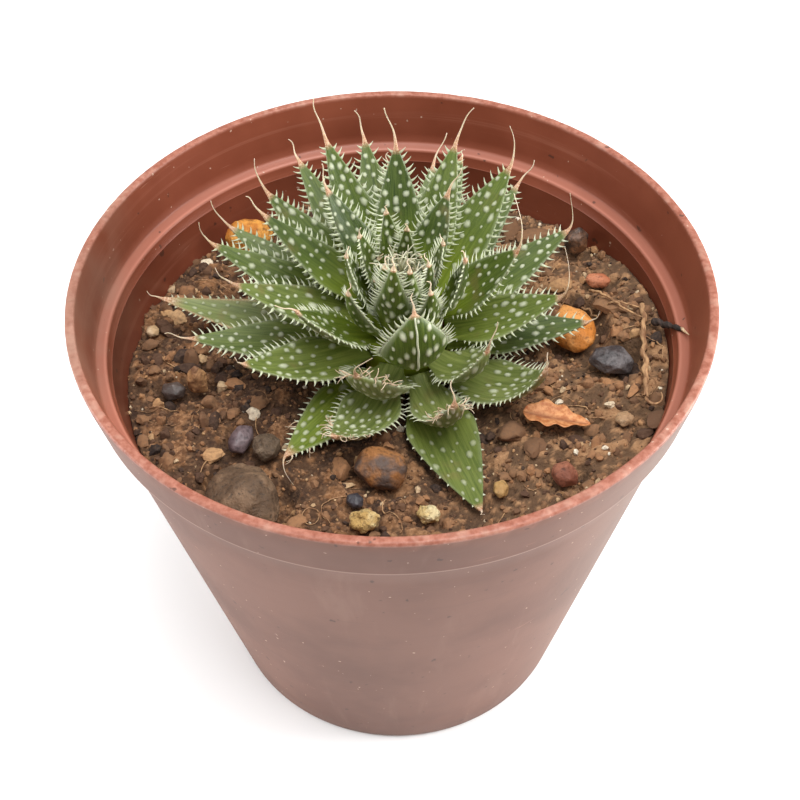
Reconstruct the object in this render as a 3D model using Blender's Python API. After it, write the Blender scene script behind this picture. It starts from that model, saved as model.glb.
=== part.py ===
"""Potted lace aloe: a plastic pot of soil, a rosette of toothed leaves on a short stem, and small stones.

The origin is the centre of the pot's foot, with +Z up and -Y towards the front. Sizes are in millimetres
here, and each mesh is turned into metres as it is made.
"""

import math
import random

import bmesh
import bpy
from mathutils import Vector, noise
from mathutils.bvhtree import BVHTree
from mathutils.geometry import delaunay_2d_cdt

METRES_PER_MM = 0.001
CLEARANCE = 0.3
SEED = 7

# Pot, from its foot to its rim
POT_HEIGHT = 106.0
RIM_RADIUS = 60.0
RIM_INNER_RADIUS = 58.2
RIM_ROUNDING = 0.4
COLLAR_HEIGHT = 11.3
COLLAR_FOOT_RADIUS = 58.0
COLLAR_STEP_RISE = 0.1
COLLAR_LIP = 0.35
COLLAR_LIP_RISE = 0.9
BODY_TOP_RADIUS = 56.8
LEDGE_OUTER_RADIUS = 56.6
LEDGE_INNER_RADIUS = 54.6
LEDGE_DROP = 0.7
FOOT_RADIUS = 40.2
FOOT_ROUNDING = 0.8
FOOT_RING_WIDTH = 6.0
FLOOR_RISE = 1.6
FLOOR_THICKNESS = 1.8
WALL_THICKNESS = 1.7
POT_SEGMENTS = 48
DRAIN_HOLES = 6
DRAIN_RADIUS = 4.0
DRAIN_CIRCLE_RADIUS = 22.0
DRAIN_SEGMENTS = 12
CUT_BEYOND = 1.0

# Soil: its level at the left, and the bank at the right, which fades to the front and to the back
SOIL_LEVEL = 83.6
BANK_HEIGHT = 6.0
BANK_START = 16.0
BANK_WIDTH = 38.0
BANK_MIDDLE = -6.0
BANK_HALF_LENGTH = 14.0
BANK_FADE_LENGTH = 34.0
BANK_FADE = 0.45
LUMP_HEIGHT = 1.0
LUMP_SIZE = 9.0
LUMP_SLICE = 3.0
CRUMB_HEIGHT = 0.8
CRUMB_SIZE = 3.6
CRUMB_SLICE = 9.0
SOIL_POINT_SPACING = 3.8
SOIL_UNDER_PLANTS = 0.45
DIMPLE_ROOM = 1.2
DIMPLE_SLOPE = 1.3
HOLE_DEPTH = 11.0
HOLE_GAP = 0.45
HOLE_TOP_DROP = 3.2
SETTLE_STEP = 0.25
SETTLE_ROUNDS = 30
BRIM_RADIUS = 53.0
BELOW_SOIL = 60.0
OVERHANG_REACHES = (0.0, 2.0, 4.0)
SCATTER_TRIES = 9000
SCATTER_TO_WALL = 2.2
SCATTER_TO_HOLE = 1.5
SCATTER_TO_DIMPLE = 2.4
DIMPLE_TO_WALL = 1.2
DIMPLE_TO_DIMPLE = 0.9
LARGE_DIMPLE = 5.0

# Stem and rosette; the plant leans towards the front
PLANT_LEAN = math.radians(12)
PLANT_FOOT = Vector((2.0, 2.0, 85.5))
STEM_RADIUS = 8.2
STEM_HEIGHT = 19.0
STEM_SEGMENTS = 16
STEM_FOOT_RADIUS = 7.2
STEM_RING_SHARES = (0.0, 0.35, 0.6, 0.8, 0.93, 0.985)

# Leaves
LEAF_ROOT_THICKNESS = 1.7
LEAF_THICKNESS = 0.24
MARGIN_THICKNESS = 0.7
MARGIN_LIFT = 0.11
WIDEST_AT = 0.4
SLIM_TAPER = 0.5
BROAD_TAPER = 2.2
TIP_HALF_WIDTH = 0.45
ROOT_HALF_WIDTH = 2.6
ROOT_SHARE = 0.3
ROOT_CLEARANCE = 0.45
TOOTH_LENGTH = 1.4
TOOTH_HALF_BASE = 0.45
TOOTH_SPACING = 3.1
TOOTH_LEAN = 0.35
TOOTH_RISE = 0.1
LEAST_TOOTH_SHARE = 0.45
FIRST_TOOTH_SHARE = 0.3
PLAIN_MARGIN_SHARES = (0.0, 0.35, 0.7)
MIDLINE_SHARES = (0.18, 0.36, 0.56, 0.78)
SPOT_HALF_BASE = 0.6
SPOT_HEIGHT = 0.4
SPOT_SPACING = 4.0
SPOT_ROWS = ((0.5, -0.42), (0.12,))
SPOT_SHIFT_ALONG = 0.5
SPOT_SHIFT_ACROSS = 0.06
SPOT_TO_EDGE = 0.5
SPOT_TO_TIP = 5.0
AWN_RADIUS = 0.4
AWN_ROOT_GROWTH = 1.15
AWN_TAPER = 0.5
AWN_FLATNESS = 0.8
AWN_STEPS = 3
YOUNG_AWN = (2.5, 0.0, 0.6)
YOUNG_LEAF_SINK = 1.6

# How the triangle filler works: only inside the outline, and with this tolerance
FILL_INSIDE = 1
FILL_TOLERANCE = 1e-6

PLANT_AXIS = Vector((0.0, -math.sin(PLANT_LEAN), math.cos(PLANT_LEAN)))
PLANT_RIGHT = Vector((1.0, 0.0, 0.0))
PLANT_BACK = PLANT_AXIS.cross(PLANT_RIGHT)

# Each leaf, from the lowest to the highest: height of its root up the stem, azimuth, length, lean at its
# root and at its tip, widest width, how far it sways to its left, and how far its dry awn runs on, bends to
# its left and bends up. Angles are in degrees; azimuth 0 is the pot's right, and a lean of 90 is along the
# stem.
LEAVES = [
    (1.2, 169, 40, -2, 12, 11.0, 0, 3.5, 0, 1),
    (-0.5, -131, 25.5, 5, 13, 11.0, 0, 5, 6, 1.5),
    (-0.6, -71, 32.5, 7, 15, 13.5, 0, 1.5, 0, 0),
    (1.2, 93, 35, -3, 9, 9.0, 0, 3, 0, 1),
    (1.6, 53, 32.5, 6, 24, 9.0, 0, 6, -1, 2),
    (3.8, -174, 32.5, 5, 20, 11.0, 0, 5.5, 0, 1),
    (2.9, -109, 25, -3, 58, 11.6, -3.4, 3, -1, 0),
    (5.0, 148, 32, 6, 19, 9.5, 0, 6, 0, 4),
    (5.0, 79, 28.5, 8, 22, 9.0, 0, 7, -2, 2),
    (3.0, -1, 27.5, 3, 20, 10.0, 0, 3, 1, 1),
    (6.0, -152, 27, 8, 44, 11.0, -1, 3, 0, 1),
    (3.4, -71, 24.5, -13, 97, 10.0, 0.7, 4, 0, 2),
    (2.6, -35, 29.5, -12, 84, 11.5, 1, 3, 1, 1),
    (5.6, 26, 29.5, 11, 30, 10.5, 0, 5, 4, 4),
    (7.4, 69, 28.5, 16, 31, 9.0, 0, 2, 0, 0),
    (7.0, 122, 31.5, 14, 30, 9.5, 0, 5, 0, 1),
    (8.0, 163, 31.5, 15, 30, 10.0, 0, 5, 0, 4),
    (10.0, -178, 26.5, 22, 40, 9.5, 0, 6, 0, 2),
    (7.0, -4, 24.5, 16, 45, 10.5, 0, 7, 4, 7),
    (6.0, -106, 17.5, 12, 86, 13.0, -3.5, 6, 6, 0),
    (10.0, 49, 28.5, 24, 39, 11.0, 0, 7, 3, 3),
    (9.8, 102, 29, 23, 38, 9.5, 0, 6, 1, 2),
    (10.0, 142, 28, 22, 38, 10.0, 0, 7, -1, 3),
    (5.8, -45, 17.5, 4, 90, 10.0, 2, 7, 1, 0),
    (11.0, -147, 21.5, 38, 63, 9.5, -2, 4, -1, -2),
    (12.6, 157, 26, 31, 46, 8.5, 0, 6, 1, 2),
    (12.6, 68, 27, 31, 47, 9.5, 0, 8, -2, 2),
    (12.8, 118, 29, 32, 47, 9.5, 0, 9, 0, 2),
    (11.2, 8, 21, 36, 62, 10.0, 0, 8, 6, 4),
    (9.8, -80, 19, 40, 120, 13.0, 0, 4, 0, 0),
    (15.3, 92, 24.5, 41, 54, 9.5, 0, 8, 2, 2),
    (16.4, 137, 21.5, 46, 58, 7.5, 0, 5.5, -1, 1),
    (16.8, 56, 18, 48, 60, 7.5, 0, 6.5, -1.5, 1),
    (14.0, -9, 18, 56, 92, 7.5, 0, 2.5, 0, 0.5),
]

# The young leaves of the heart, which haven't parted from the stem yet: height of the root, azimuth, length,
# lean at the root and at the tip, widest width
HEART_LEAVES = [
    (12.5, -104, 23, 74, 98, 7.5),
    (11.5, -143, 19, 56, 84, 7.5),
    (14.0, -177, 18, 62, 84, 7.0),
    (12.0, -58, 18, 63, 94, 6.6),
    (14.0, -78, 19, 76, 98, 5.5),
    (15.6, -34, 16, 74, 94, 5.0),
    (16.2, 155, 16, 64, 80, 5.5),
    (16.6, 110, 17, 66, 80, 5.5),
    (17.3, 80, 14, 72, 86, 4.4),
    (16.0, 12, 16, 66, 86, 4.8),
    (16.0, -130, 16, 76, 94, 5.0),
]

STONE_BUMPS = 0.16
STONE_BUMP_SCALE = 1.6
STONE_BUMP_STEP = 5.3
STONE_BASE = -0.8
STONE_REACH = 0.8

# Stones: name, place to the right and to the back, half width, half depth, half height, turn in degrees, how
# deep the middle lies under the soil's level, how fine its facets are, colour
STONES = [
    ("stone_big_brown", -27.5, -35.0, 7.2, 7.4, 6.0, 20, -1.6, 2, (0.25, 0.17, 0.10)),
    ("stone_orange_back", -31.0, 35.2, 5.7, 3.9, 5.4, 10, -2.6, 2, (0.62, 0.31, 0.07)),
    ("stone_orange_right", 36.3, 6.0, 5.0, 6.6, 3.0, 15, -0.6, 2, (0.66, 0.36, 0.12)),
    ("stone_charcoal", 42.6, -5.0, 5.0, 3.6, 2.7, -10, -0.8, 1, (0.10, 0.09, 0.10)),
    ("stone_tan_front", -3.0, -27.5, 5.6, 4.4, 3.8, -15, -0.4, 2, (0.36, 0.21, 0.11)),
    ("pebble_dark_oval", -43.0, -7.5, 2.9, 2.1, 1.9, 0, -0.6, 1, (0.09, 0.07, 0.07)),
    ("pebble_tan_upright", -38.2, -6.5, 2.3, 1.9, 4.8, 8, -2.2, 1, (0.50, 0.30, 0.16)),
    ("pebble_purple", -29.0, -20.0, 2.5, 3.8, 2.2, -30, -0.7, 1, (0.17, 0.12, 0.13)),
    ("stone_grey_rough", -24.0, -22.0, 3.1, 3.6, 2.6, 10, -0.6, 1, (0.27, 0.21, 0.15)),
    ("lump_yellow_left", -5.6, -40.0, 3.1, 2.4, 2.0, 10, -0.7, 1, (0.68, 0.50, 0.18)),
    ("lump_yellow_right", 6.0, -38.0, 2.5, 1.9, 1.8, -10, -0.6, 1, (0.72, 0.56, 0.26)),
    ("pebble_brown", 30.8, -31.0, 3.0, 2.8, 2.5, 0, -0.8, 1, (0.33, 0.16, 0.09)),
    ("pebble_yellow", 19.2, -33.0, 1.7, 2.1, 1.3, 0, -0.4, 1, (0.50, 0.36, 0.14)),
    ("pebble_blue_black", -7.4, -35.0, 1.9, 1.7, 1.5, 0, -0.4, 1, (0.07, 0.07, 0.09)),
    ("stone_dark_back", 39.6, 29.5, 2.9, 3.0, 4.0, 0, -2.0, 1, (0.09, 0.07, 0.06)),
    ("chip_red", 42.6, 17.5, 3.2, 1.9, 1.7, -15, -0.6, 1, (0.50, 0.21, 0.11)),
    ("pebble_pale_left", -49.0, 9.0, 1.6, 1.6, 1.3, 0, -0.4, 1, (0.60, 0.44, 0.25)),
    ("pebble_disc", 42.8, -20.6, 2.0, 2.0, 1.2, 0, -0.4, 1, (0.45, 0.31, 0.18)),
]

# The straw that lies on the soil at the right, from the back to the front: across, back
STRAW_ROUTE = [(50.0, 7.5), (49.4, 1.0), (49.0, -5.5), (48.2, -12.0), (47.0, -17.5)]
STRAW_RADIUS = 0.75
STRAW_SIDES = 6
STRAW_REACH = 1.5
STRAW_HEIGHT = 1.6

# The dry leaf scrap on the soil: middle, half length, half width, turn
SCRAP_PLACE = (30.5, -18.5)
SCRAP_HALF_LENGTH = 6.2
SCRAP_HALF_WIDTH = 2.7
SCRAP_TURN = math.radians(-22)
SCRAP_THICKNESS = 0.8
SCRAP_STATIONS = 7
SCRAP_END_HALF_WIDTH = 0.3
SCRAP_EDGE_RISE = 1.1
SCRAP_END_RISE = 0.7
SCRAP_REACH = 4.0
SCRAP_HEIGHT = 1.3

# Colour and roughness
POT_FINISH = ((0.42, 0.17, 0.12), 0.5)
SOIL_FINISH = ((0.13, 0.075, 0.045), 0.95)
LEAF_FINISH = ((0.17, 0.26, 0.09), 0.45)
HEART_FINISH = ((0.30, 0.36, 0.16), 0.5)
STRAW_FINISH = ((0.60, 0.44, 0.28), 0.8)
SCRAP_FINISH = ((0.62, 0.30, 0.12), 0.7)
STONE_ROUGHNESS = 0.8


def clear_scene():
    for obj in list(bpy.data.objects):
        bpy.data.objects.remove(obj, do_unlink=True)


def material(name, colour, roughness):
    made = bpy.data.materials.new(name)
    made.use_nodes = True
    shader = made.node_tree.nodes["Principled BSDF"]
    shader.inputs["Base Color"].default_value = (*colour, 1.0)
    shader.inputs["Roughness"].default_value = roughness
    return made


def add_object(name, points, faces, finish, smooth_angle=None):
    """One object from points in millimetres, with its faces turned outwards."""
    mesh = bpy.data.meshes.new(name)
    mesh.from_pydata([Vector(point) * METRES_PER_MM for point in points], [], faces)
    shape = bmesh.new()
    shape.from_mesh(mesh)
    bmesh.ops.recalc_face_normals(shape, faces=shape.faces)
    bmesh.ops.triangulate(shape, faces=[face for face in shape.faces if len(face.verts) > 3])
    shape.to_mesh(mesh)
    shape.free()
    mesh.materials.append(finish)
    if smooth_angle is not None:
        mesh.shade_smooth()
        mesh.set_sharp_from_angle(angle=math.radians(smooth_angle))
    obj = bpy.data.objects.new(name, mesh)
    bpy.context.scene.collection.objects.link(obj)
    return obj


def apply_modifiers(obj):
    graph = bpy.context.evaluated_depsgraph_get()
    made = bpy.data.meshes.new_from_object(obj.evaluated_get(graph))
    obj.modifiers.clear()
    obj.data = made


def smoothstep(value):
    value = min(1.0, max(0.0, value))
    return value * value * (3.0 - 2.0 * value)


def turned(x, y, angle):
    """A flat place turned about the origin."""
    cosine = math.cos(angle)
    sine = math.sin(angle)
    return x * cosine - y * sine, x * sine + y * cosine


def turned_faces(rings, segments):
    """Quads between rings of points that follow each other in a list, each ring of the same length."""
    faces = []
    for ring in range(rings - 1):
        for step in range(segments):
            after = (step + 1) % segments
            a = ring * segments
            b = a + segments
            faces.append((a + step, a + after, b + after, b + step))
    return faces


# Pot


def wall_inner_radius(height):
    """The pot's inner wall below its ledge, at this height."""
    floor = FLOOR_RISE + FLOOR_THICKNESS
    top = POT_HEIGHT - COLLAR_HEIGHT - LEDGE_DROP
    share = (height - floor) / (top - floor)
    bottom_radius = FOOT_RADIUS - WALL_THICKNESS
    return bottom_radius + share * (LEDGE_INNER_RADIUS - bottom_radius)


def pot_profile():
    """Radius and height from the underside, out and up the wall, over the rim and down inside."""
    collar = POT_HEIGHT - COLLAR_HEIGHT
    floor_top = FLOOR_RISE + FLOOR_THICKNESS
    ring_inner = FOOT_RADIUS - FOOT_RING_WIDTH
    return [
        (ring_inner - FLOOR_RISE, FLOOR_RISE),
        (ring_inner, 0.0),
        (FOOT_RADIUS - FOOT_ROUNDING, 0.0),
        (FOOT_RADIUS, FOOT_ROUNDING),
        (BODY_TOP_RADIUS, collar),
        (COLLAR_FOOT_RADIUS, collar + COLLAR_STEP_RISE),
        (COLLAR_FOOT_RADIUS + COLLAR_LIP, collar + COLLAR_LIP_RISE),
        (RIM_RADIUS, POT_HEIGHT - RIM_ROUNDING),
        (RIM_RADIUS - RIM_ROUNDING, POT_HEIGHT),
        (RIM_INNER_RADIUS + RIM_ROUNDING, POT_HEIGHT),
        (RIM_INNER_RADIUS, POT_HEIGHT - RIM_ROUNDING),
        (LEDGE_OUTER_RADIUS, collar),
        (LEDGE_INNER_RADIUS, collar - LEDGE_DROP),
        (wall_inner_radius(floor_top), floor_top),
    ]


def ring_of(radius, height, segments):
    return [(*turned(radius, 0.0, 2 * math.pi * step / segments), height) for step in range(segments)]


def drain_cutter(finish):
    """The drain holes as one body of upright prisms, which reach past the floor on both sides."""
    points = []
    faces = []
    heights = (-CUT_BEYOND, FLOOR_RISE + FLOOR_THICKNESS + CUT_BEYOND)
    for hole in range(DRAIN_HOLES):
        hole_x, hole_y = turned(DRAIN_CIRCLE_RADIUS, 0.0, 2 * math.pi * hole / DRAIN_HOLES)
        start = len(points)
        for height in heights:
            for x, y, z in ring_of(DRAIN_RADIUS, height, DRAIN_SEGMENTS):
                points.append((hole_x + x, hole_y + y, z))
        faces += [tuple(start + index for index in face) for face in turned_faces(2, DRAIN_SEGMENTS)]
        faces.append(tuple(start + step for step in range(DRAIN_SEGMENTS)))
        faces.append(tuple(start + DRAIN_SEGMENTS + step for step in range(DRAIN_SEGMENTS)))
    return add_object("drain_cutter", points, faces, finish)


def make_pot():
    profile = pot_profile()
    points = []
    for radius, height in profile:
        points += ring_of(radius, height, POT_SEGMENTS)
    faces = turned_faces(len(profile), POT_SEGMENTS)
    last = (len(profile) - 1) * POT_SEGMENTS
    faces.append(tuple(range(POT_SEGMENTS)))
    faces.append(tuple(last + step for step in range(POT_SEGMENTS)))
    pot = add_object("pot", points, faces, material("pot_plastic", *POT_FINISH), smooth_angle=30)
    cutter = drain_cutter(pot.data.materials[0])
    cut = pot.modifiers.new("drain_holes", "BOOLEAN")
    cut.operation = "DIFFERENCE"
    cut.object = cutter
    apply_modifiers(pot)
    bpy.data.objects.remove(cutter, do_unlink=True)
    return pot


# Leaves


def stem_radius_at(height):
    """The domed stem's radius at this height along the plant's axis."""
    share = min(1.0, max(0.0, height / STEM_HEIGHT))
    return STEM_RADIUS * math.sqrt(1.0 - share**2)


class Leaf:
    """One leaf's shape: its midline, which is an arc that may sway aside, its width, thickness and dish."""

    def __init__(self, height, azimuth, length, root_lean, tip_lean, width, sway=0.0):
        turn = math.radians(azimuth)
        self.out = PLANT_RIGHT * math.cos(turn) + PLANT_BACK * math.sin(turn)
        self.left = PLANT_AXIS.cross(self.out)
        self.length = length
        self.root_lean = math.radians(root_lean)
        self.curl = math.radians(tip_lean - root_lean) / length
        self.sway = sway
        self.half = width / 2
        self.fullness = SLIM_TAPER + BROAD_TAPER * width / length
        self.root_distance = self.distance_off_stem(height)
        self.root = PLANT_FOOT + PLANT_AXIS * height + self.out * self.root_distance

    def distance_off_stem(self, height):
        """How far from the axis the root's middle stands, with its upper and lower side clear of the stem."""
        distance = stem_radius_at(height)
        top_height = height + 0.5 * MARGIN_THICKNESS
        low_height = height - LEAF_ROOT_THICKNESS * math.cos(self.root_lean)
        low_distance = LEAF_ROOT_THICKNESS * math.sin(self.root_lean)
        for sunk_height, outwards in ((top_height, 0.0), (low_height, low_distance)):
            distance = max(distance, stem_radius_at(sunk_height) - outwards)
        return distance + ROOT_CLEARANCE

    def angle(self, along):
        return self.root_lean + self.curl * along

    def midline(self, along):
        first = self.root_lean
        last = self.angle(along)
        out = (math.sin(last) - math.sin(first)) / self.curl
        up = (math.cos(first) - math.cos(last)) / self.curl
        aside = self.sway * (along / self.length) ** 2
        return self.root + self.out * out + PLANT_AXIS * up + self.left * aside

    def up(self, along):
        angle = self.angle(along)
        return PLANT_AXIS * math.cos(angle) - self.out * math.sin(angle)

    def forward(self, along):
        angle = self.angle(along)
        straight = self.out * math.cos(angle) + PLANT_AXIS * math.sin(angle)
        return (straight + self.left * (2 * self.sway * along / self.length**2)).normalized()

    def side(self, along):
        return self.up(along).cross(self.forward(along))

    def half_width(self, along):
        share = along / self.length
        root = min(ROOT_HALF_WIDTH, ROOT_SHARE * self.root_distance)
        if share < WIDEST_AT:
            return root + (self.half - root) * smoothstep(share / WIDEST_AT)
        taper = ((share - WIDEST_AT) / (1 - WIDEST_AT)) ** self.fullness
        return TIP_HALF_WIDTH + (self.half - TIP_HALF_WIDTH) * (1 - taper)

    def thickness(self, along):
        share = along / self.length
        full = LEAF_THICKNESS * 2 * self.half
        root = min(LEAF_ROOT_THICKNESS, full)
        if share < WIDEST_AT:
            return root + (full - root) * smoothstep(share / WIDEST_AT)
        taper = (share - WIDEST_AT) / (1 - WIDEST_AT)
        return MARGIN_THICKNESS + (full - MARGIN_THICKNESS) * (1 - taper)

    def lift(self, along):
        """How far the margins stand above the midline."""
        return MARGIN_LIFT * 2 * self.half_width(along) * smoothstep(along / self.length / WIDEST_AT)

    def point(self, along, across, under, raised=0.0):
        """A point of the upper skin or the lower one, across the leaf from the midline."""
        share = min(1.0, abs(across) / self.half_width(along)) ** 2
        level = self.lift(along) * share
        if under:
            level -= MARGIN_THICKNESS * share + self.thickness(along) * (1 - share)
        return self.midline(along) + self.side(along) * across + self.up(along) * (level + raised)


class Skin:
    """Points and faces of one closed leaf, gathered piece by piece."""

    def __init__(self):
        self.points = []
        self.faces = []

    def add(self, point):
        self.points.append(point)
        return len(self.points) - 1

    def fill(self, flat_outline, outline, flat_inside, inside):
        """Triangles over an outline and the points inside it, worked out in the leaf's own flat plane."""
        flat = [Vector(point) for point in flat_outline + flat_inside]
        indices = outline + inside
        loop = list(range(len(flat_outline)))
        _, _, triangles, origins, _, _ = delaunay_2d_cdt(
            flat, [], [loop], FILL_INSIDE, FILL_TOLERANCE
        )
        for triangle in triangles:
            self.faces.append(tuple(indices[origins[corner][0]] for corner in triangle))


def spot_places(leaf, chance):
    """Middles of the raised spots, in rows of one or two across the leaf's upper side."""
    places = []
    along = FIRST_TOOTH_SHARE * leaf.length
    row = 0
    while along < leaf.length - SPOT_TO_TIP:
        half = leaf.half_width(along)
        for across in SPOT_ROWS[row % len(SPOT_ROWS)]:
            shift = chance.uniform(-SPOT_SHIFT_ACROSS, SPOT_SHIFT_ACROSS)
            place = (along + chance.uniform(-SPOT_SHIFT_ALONG, SPOT_SHIFT_ALONG), half * (across + shift))
            if half - abs(place[1]) > SPOT_HALF_BASE + SPOT_TO_EDGE:
                places.append(place)
        along += SPOT_SPACING
        row += 1
    return places


def tooth_places(leaf):
    first = FIRST_TOOTH_SHARE * leaf.length
    room = leaf.length - TOOTH_LENGTH - first
    count = max(2, round(room / TOOTH_SPACING))
    return [first + room * (index + 0.5) / count for index in range(count)]


def add_tooth(skin, leaf, along, sign, base):
    """A three-sided tooth on the leaf's margin, leaning towards the tip."""
    length = TOOTH_LENGTH * min(1.0, LEAST_TOOTH_SHARE + along / leaf.length)
    root = leaf.point(along, sign * leaf.half_width(along), False)
    outwards = leaf.side(along) * (sign * length)
    onwards = leaf.forward(along) * (TOOTH_LEAN * length) + leaf.up(along) * TOOTH_RISE
    apex = skin.add(root + outwards + onwards)
    a, b, c = base
    skin.faces += [(a, b, apex), (b, c, apex), (c, a, apex)]


def add_margin(skin, leaf, sign, teeth):
    """The thin side of the leaf: returns its upper and lower edges as (along, index) lists, root to tip."""
    plain = [share * teeth[0] for share in PLAIN_MARGIN_SHARES]

    def both(along):
        half = sign * leaf.half_width(along)
        upper = skin.add(leaf.point(along, half, False))
        return upper, skin.add(leaf.point(along, half, True))

    upper_edge = []
    lower_edge = []
    last_upper = last_lower = None
    for along in plain:
        upper, lower = both(along)
        if last_upper is not None:
            skin.faces.append((last_upper, upper, lower, last_lower))
        upper_edge.append((along, upper))
        lower_edge.append((along, lower))
        last_upper, last_lower = upper, lower
    for along in teeth:
        before, after = along - TOOTH_HALF_BASE, along + TOOTH_HALF_BASE
        a = skin.add(leaf.point(before, sign * leaf.half_width(before), False))
        b = skin.add(leaf.point(after, sign * leaf.half_width(after), False))
        c = skin.add(leaf.point(along, sign * leaf.half_width(along), True))
        skin.faces.append((last_upper, a, c, last_lower))
        add_tooth(skin, leaf, along, sign, (a, b, c))
        upper_edge += [(before, a), (after, b)]
        lower_edge.append((along, c))
        last_upper, last_lower = b, c
    upper, lower = both(leaf.length)
    skin.faces.append((last_upper, upper, lower, last_lower))
    upper_edge.append((leaf.length, upper))
    lower_edge.append((leaf.length, lower))
    return upper_edge, lower_edge


def add_awn(skin, leaf, corners, length, bend_left, bend_up):
    """The dry thread that runs on from the leaf's tip, from its four corners to a point."""
    start = leaf.point(leaf.length, 0.0, False) - leaf.up(leaf.length) * MARGIN_THICKNESS / 2
    forward = leaf.forward(leaf.length)
    side = leaf.side(leaf.length)
    up = leaf.up(leaf.length)

    def centre(share):
        bend = side * bend_left + up * bend_up
        return start + forward * (length * share) + bend * share * share

    last = list(corners)
    for step in range(1, AWN_STEPS + 1):
        share = step / (AWN_STEPS + 1)
        radius = AWN_RADIUS * (AWN_ROOT_GROWTH - AWN_TAPER * share)
        ring = []
        for across, level in ((1, 1), (-1, 1), (-1, -1), (1, -1)):
            corner = side * (across * radius) + up * (level * AWN_FLATNESS * radius)
            ring.append(skin.add(centre(share) + corner))
        for corner in range(4):
            after = (corner + 1) % 4
            skin.faces.append((last[corner], last[after], ring[after], ring[corner]))
        last = ring
    apex = skin.add(centre(1.0))
    for corner in range(4):
        skin.faces.append((last[corner], last[(corner + 1) % 4], apex))


def leaf_skin(leaf, awn, chance):
    """The whole leaf as one closed skin: both sides, toothed margins, raised spots, root and awn."""
    skin = Skin()
    teeth = tooth_places(leaf)
    left_upper, left_lower = add_margin(skin, leaf, 1, teeth)
    right_upper, right_lower = add_margin(skin, leaf, -1, teeth)

    def flat(edge, sign):
        return [(along, sign * leaf.half_width(along)) for along, _ in edge]

    middle = [leaf.length * share for share in MIDLINE_SHARES]
    upper_flat = [(along, 0.0) for along in middle]
    upper_inside = [skin.add(leaf.point(along, 0.0, False)) for along in middle]
    for along, across in spot_places(leaf, chance):
        corners = ((1, 0), (0, 1), (-1, 0), (0, -1))
        for step_along, step_across in corners:
            place = (along + SPOT_HALF_BASE * step_along, across + SPOT_HALF_BASE * step_across)
            upper_flat.append(place)
            upper_inside.append(skin.add(leaf.point(*place, False)))
        upper_flat.append((along, across))
        upper_inside.append(skin.add(leaf.point(along, across, False, SPOT_HEIGHT)))
    lower_flat = [(along, 0.0) for along in middle]
    lower_inside = [skin.add(leaf.point(along, 0.0, True)) for along in middle]
    root_middle = [skin.add(leaf.point(0.0, 0.0, under)) for under in (False, True)]
    for left, right, inside_flat, inside, root in (
        (left_upper, right_upper, upper_flat, upper_inside, root_middle[0]),
        (left_lower, right_lower, lower_flat, lower_inside, root_middle[1]),
    ):
        outline_flat = flat(left, 1) + flat(right, -1)[::-1] + [(0.0, 0.0)]
        outline = [index for _, index in left] + [index for _, index in right][::-1] + [root]
        skin.fill(outline_flat, outline, inside_flat, inside)
    upper_root = (left_upper[0][1], root_middle[0], right_upper[0][1])
    lower_root = (right_lower[0][1], root_middle[1], left_lower[0][1])
    skin.faces.append(upper_root + lower_root)
    tip_corners = (left_upper[-1][1], right_upper[-1][1], right_lower[-1][1], left_lower[-1][1])
    add_awn(skin, leaf, tip_corners, *awn)
    return skin


def make_leaves(chance):
    finish = material("leaf_green", *LEAF_FINISH)
    leaves = []
    for number, (*shape, awn_length, awn_left, awn_up) in enumerate(LEAVES, start=1):
        skin = leaf_skin(Leaf(*shape), (awn_length, awn_left, awn_up), chance)
        leaves.append(add_object(f"leaf_{number:02d}", skin.points, skin.faces, finish, smooth_angle=40))
    return leaves


# Stem and heart


def stem_ring(radius, height):
    middle = PLANT_FOOT + PLANT_AXIS * height
    ring = []
    for step in range(STEM_SEGMENTS):
        turn = 2 * math.pi * step / STEM_SEGMENTS
        out = PLANT_RIGHT * math.cos(turn) + PLANT_BACK * math.sin(turn)
        ring.append(middle + out * radius)
    return ring


def make_heart(chance):
    """The short stem with the youngest leaves, which have not parted from it yet."""
    finish = material("heart_green", *HEART_FINISH)
    rings = [(STEM_FOOT_RADIUS, -HOLE_DEPTH)]
    rings += [(stem_radius_at(STEM_HEIGHT * share), STEM_HEIGHT * share) for share in STEM_RING_SHARES]
    points = []
    for radius, height in rings:
        points += stem_ring(radius, height)
    faces = turned_faces(len(rings), STEM_SEGMENTS)
    last = (len(rings) - 1) * STEM_SEGMENTS
    faces.append(tuple(range(STEM_SEGMENTS)))
    faces.append(tuple(last + step for step in range(STEM_SEGMENTS)))
    stem = add_object("heart", points, faces, finish, smooth_angle=40)
    young = bpy.data.collections.new("young_leaves")
    for shape in HEART_LEAVES:
        leaf = Leaf(*shape)
        leaf.root -= leaf.out * YOUNG_LEAF_SINK
        skin = leaf_skin(leaf, YOUNG_AWN, chance)
        piece = add_object("young_leaf", skin.points, skin.faces, finish)
        bpy.context.scene.collection.objects.unlink(piece)
        young.objects.link(piece)
    join = stem.modifiers.new("young_leaves", "BOOLEAN")
    join.operation = "UNION"
    join.operand_type = "COLLECTION"
    join.collection = young
    join.solver = "EXACT"
    apply_modifiers(stem)
    for piece in list(young.objects):
        bpy.data.objects.remove(piece, do_unlink=True)
    bpy.data.collections.remove(young)
    return stem


# Soil and what lies on it


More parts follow.
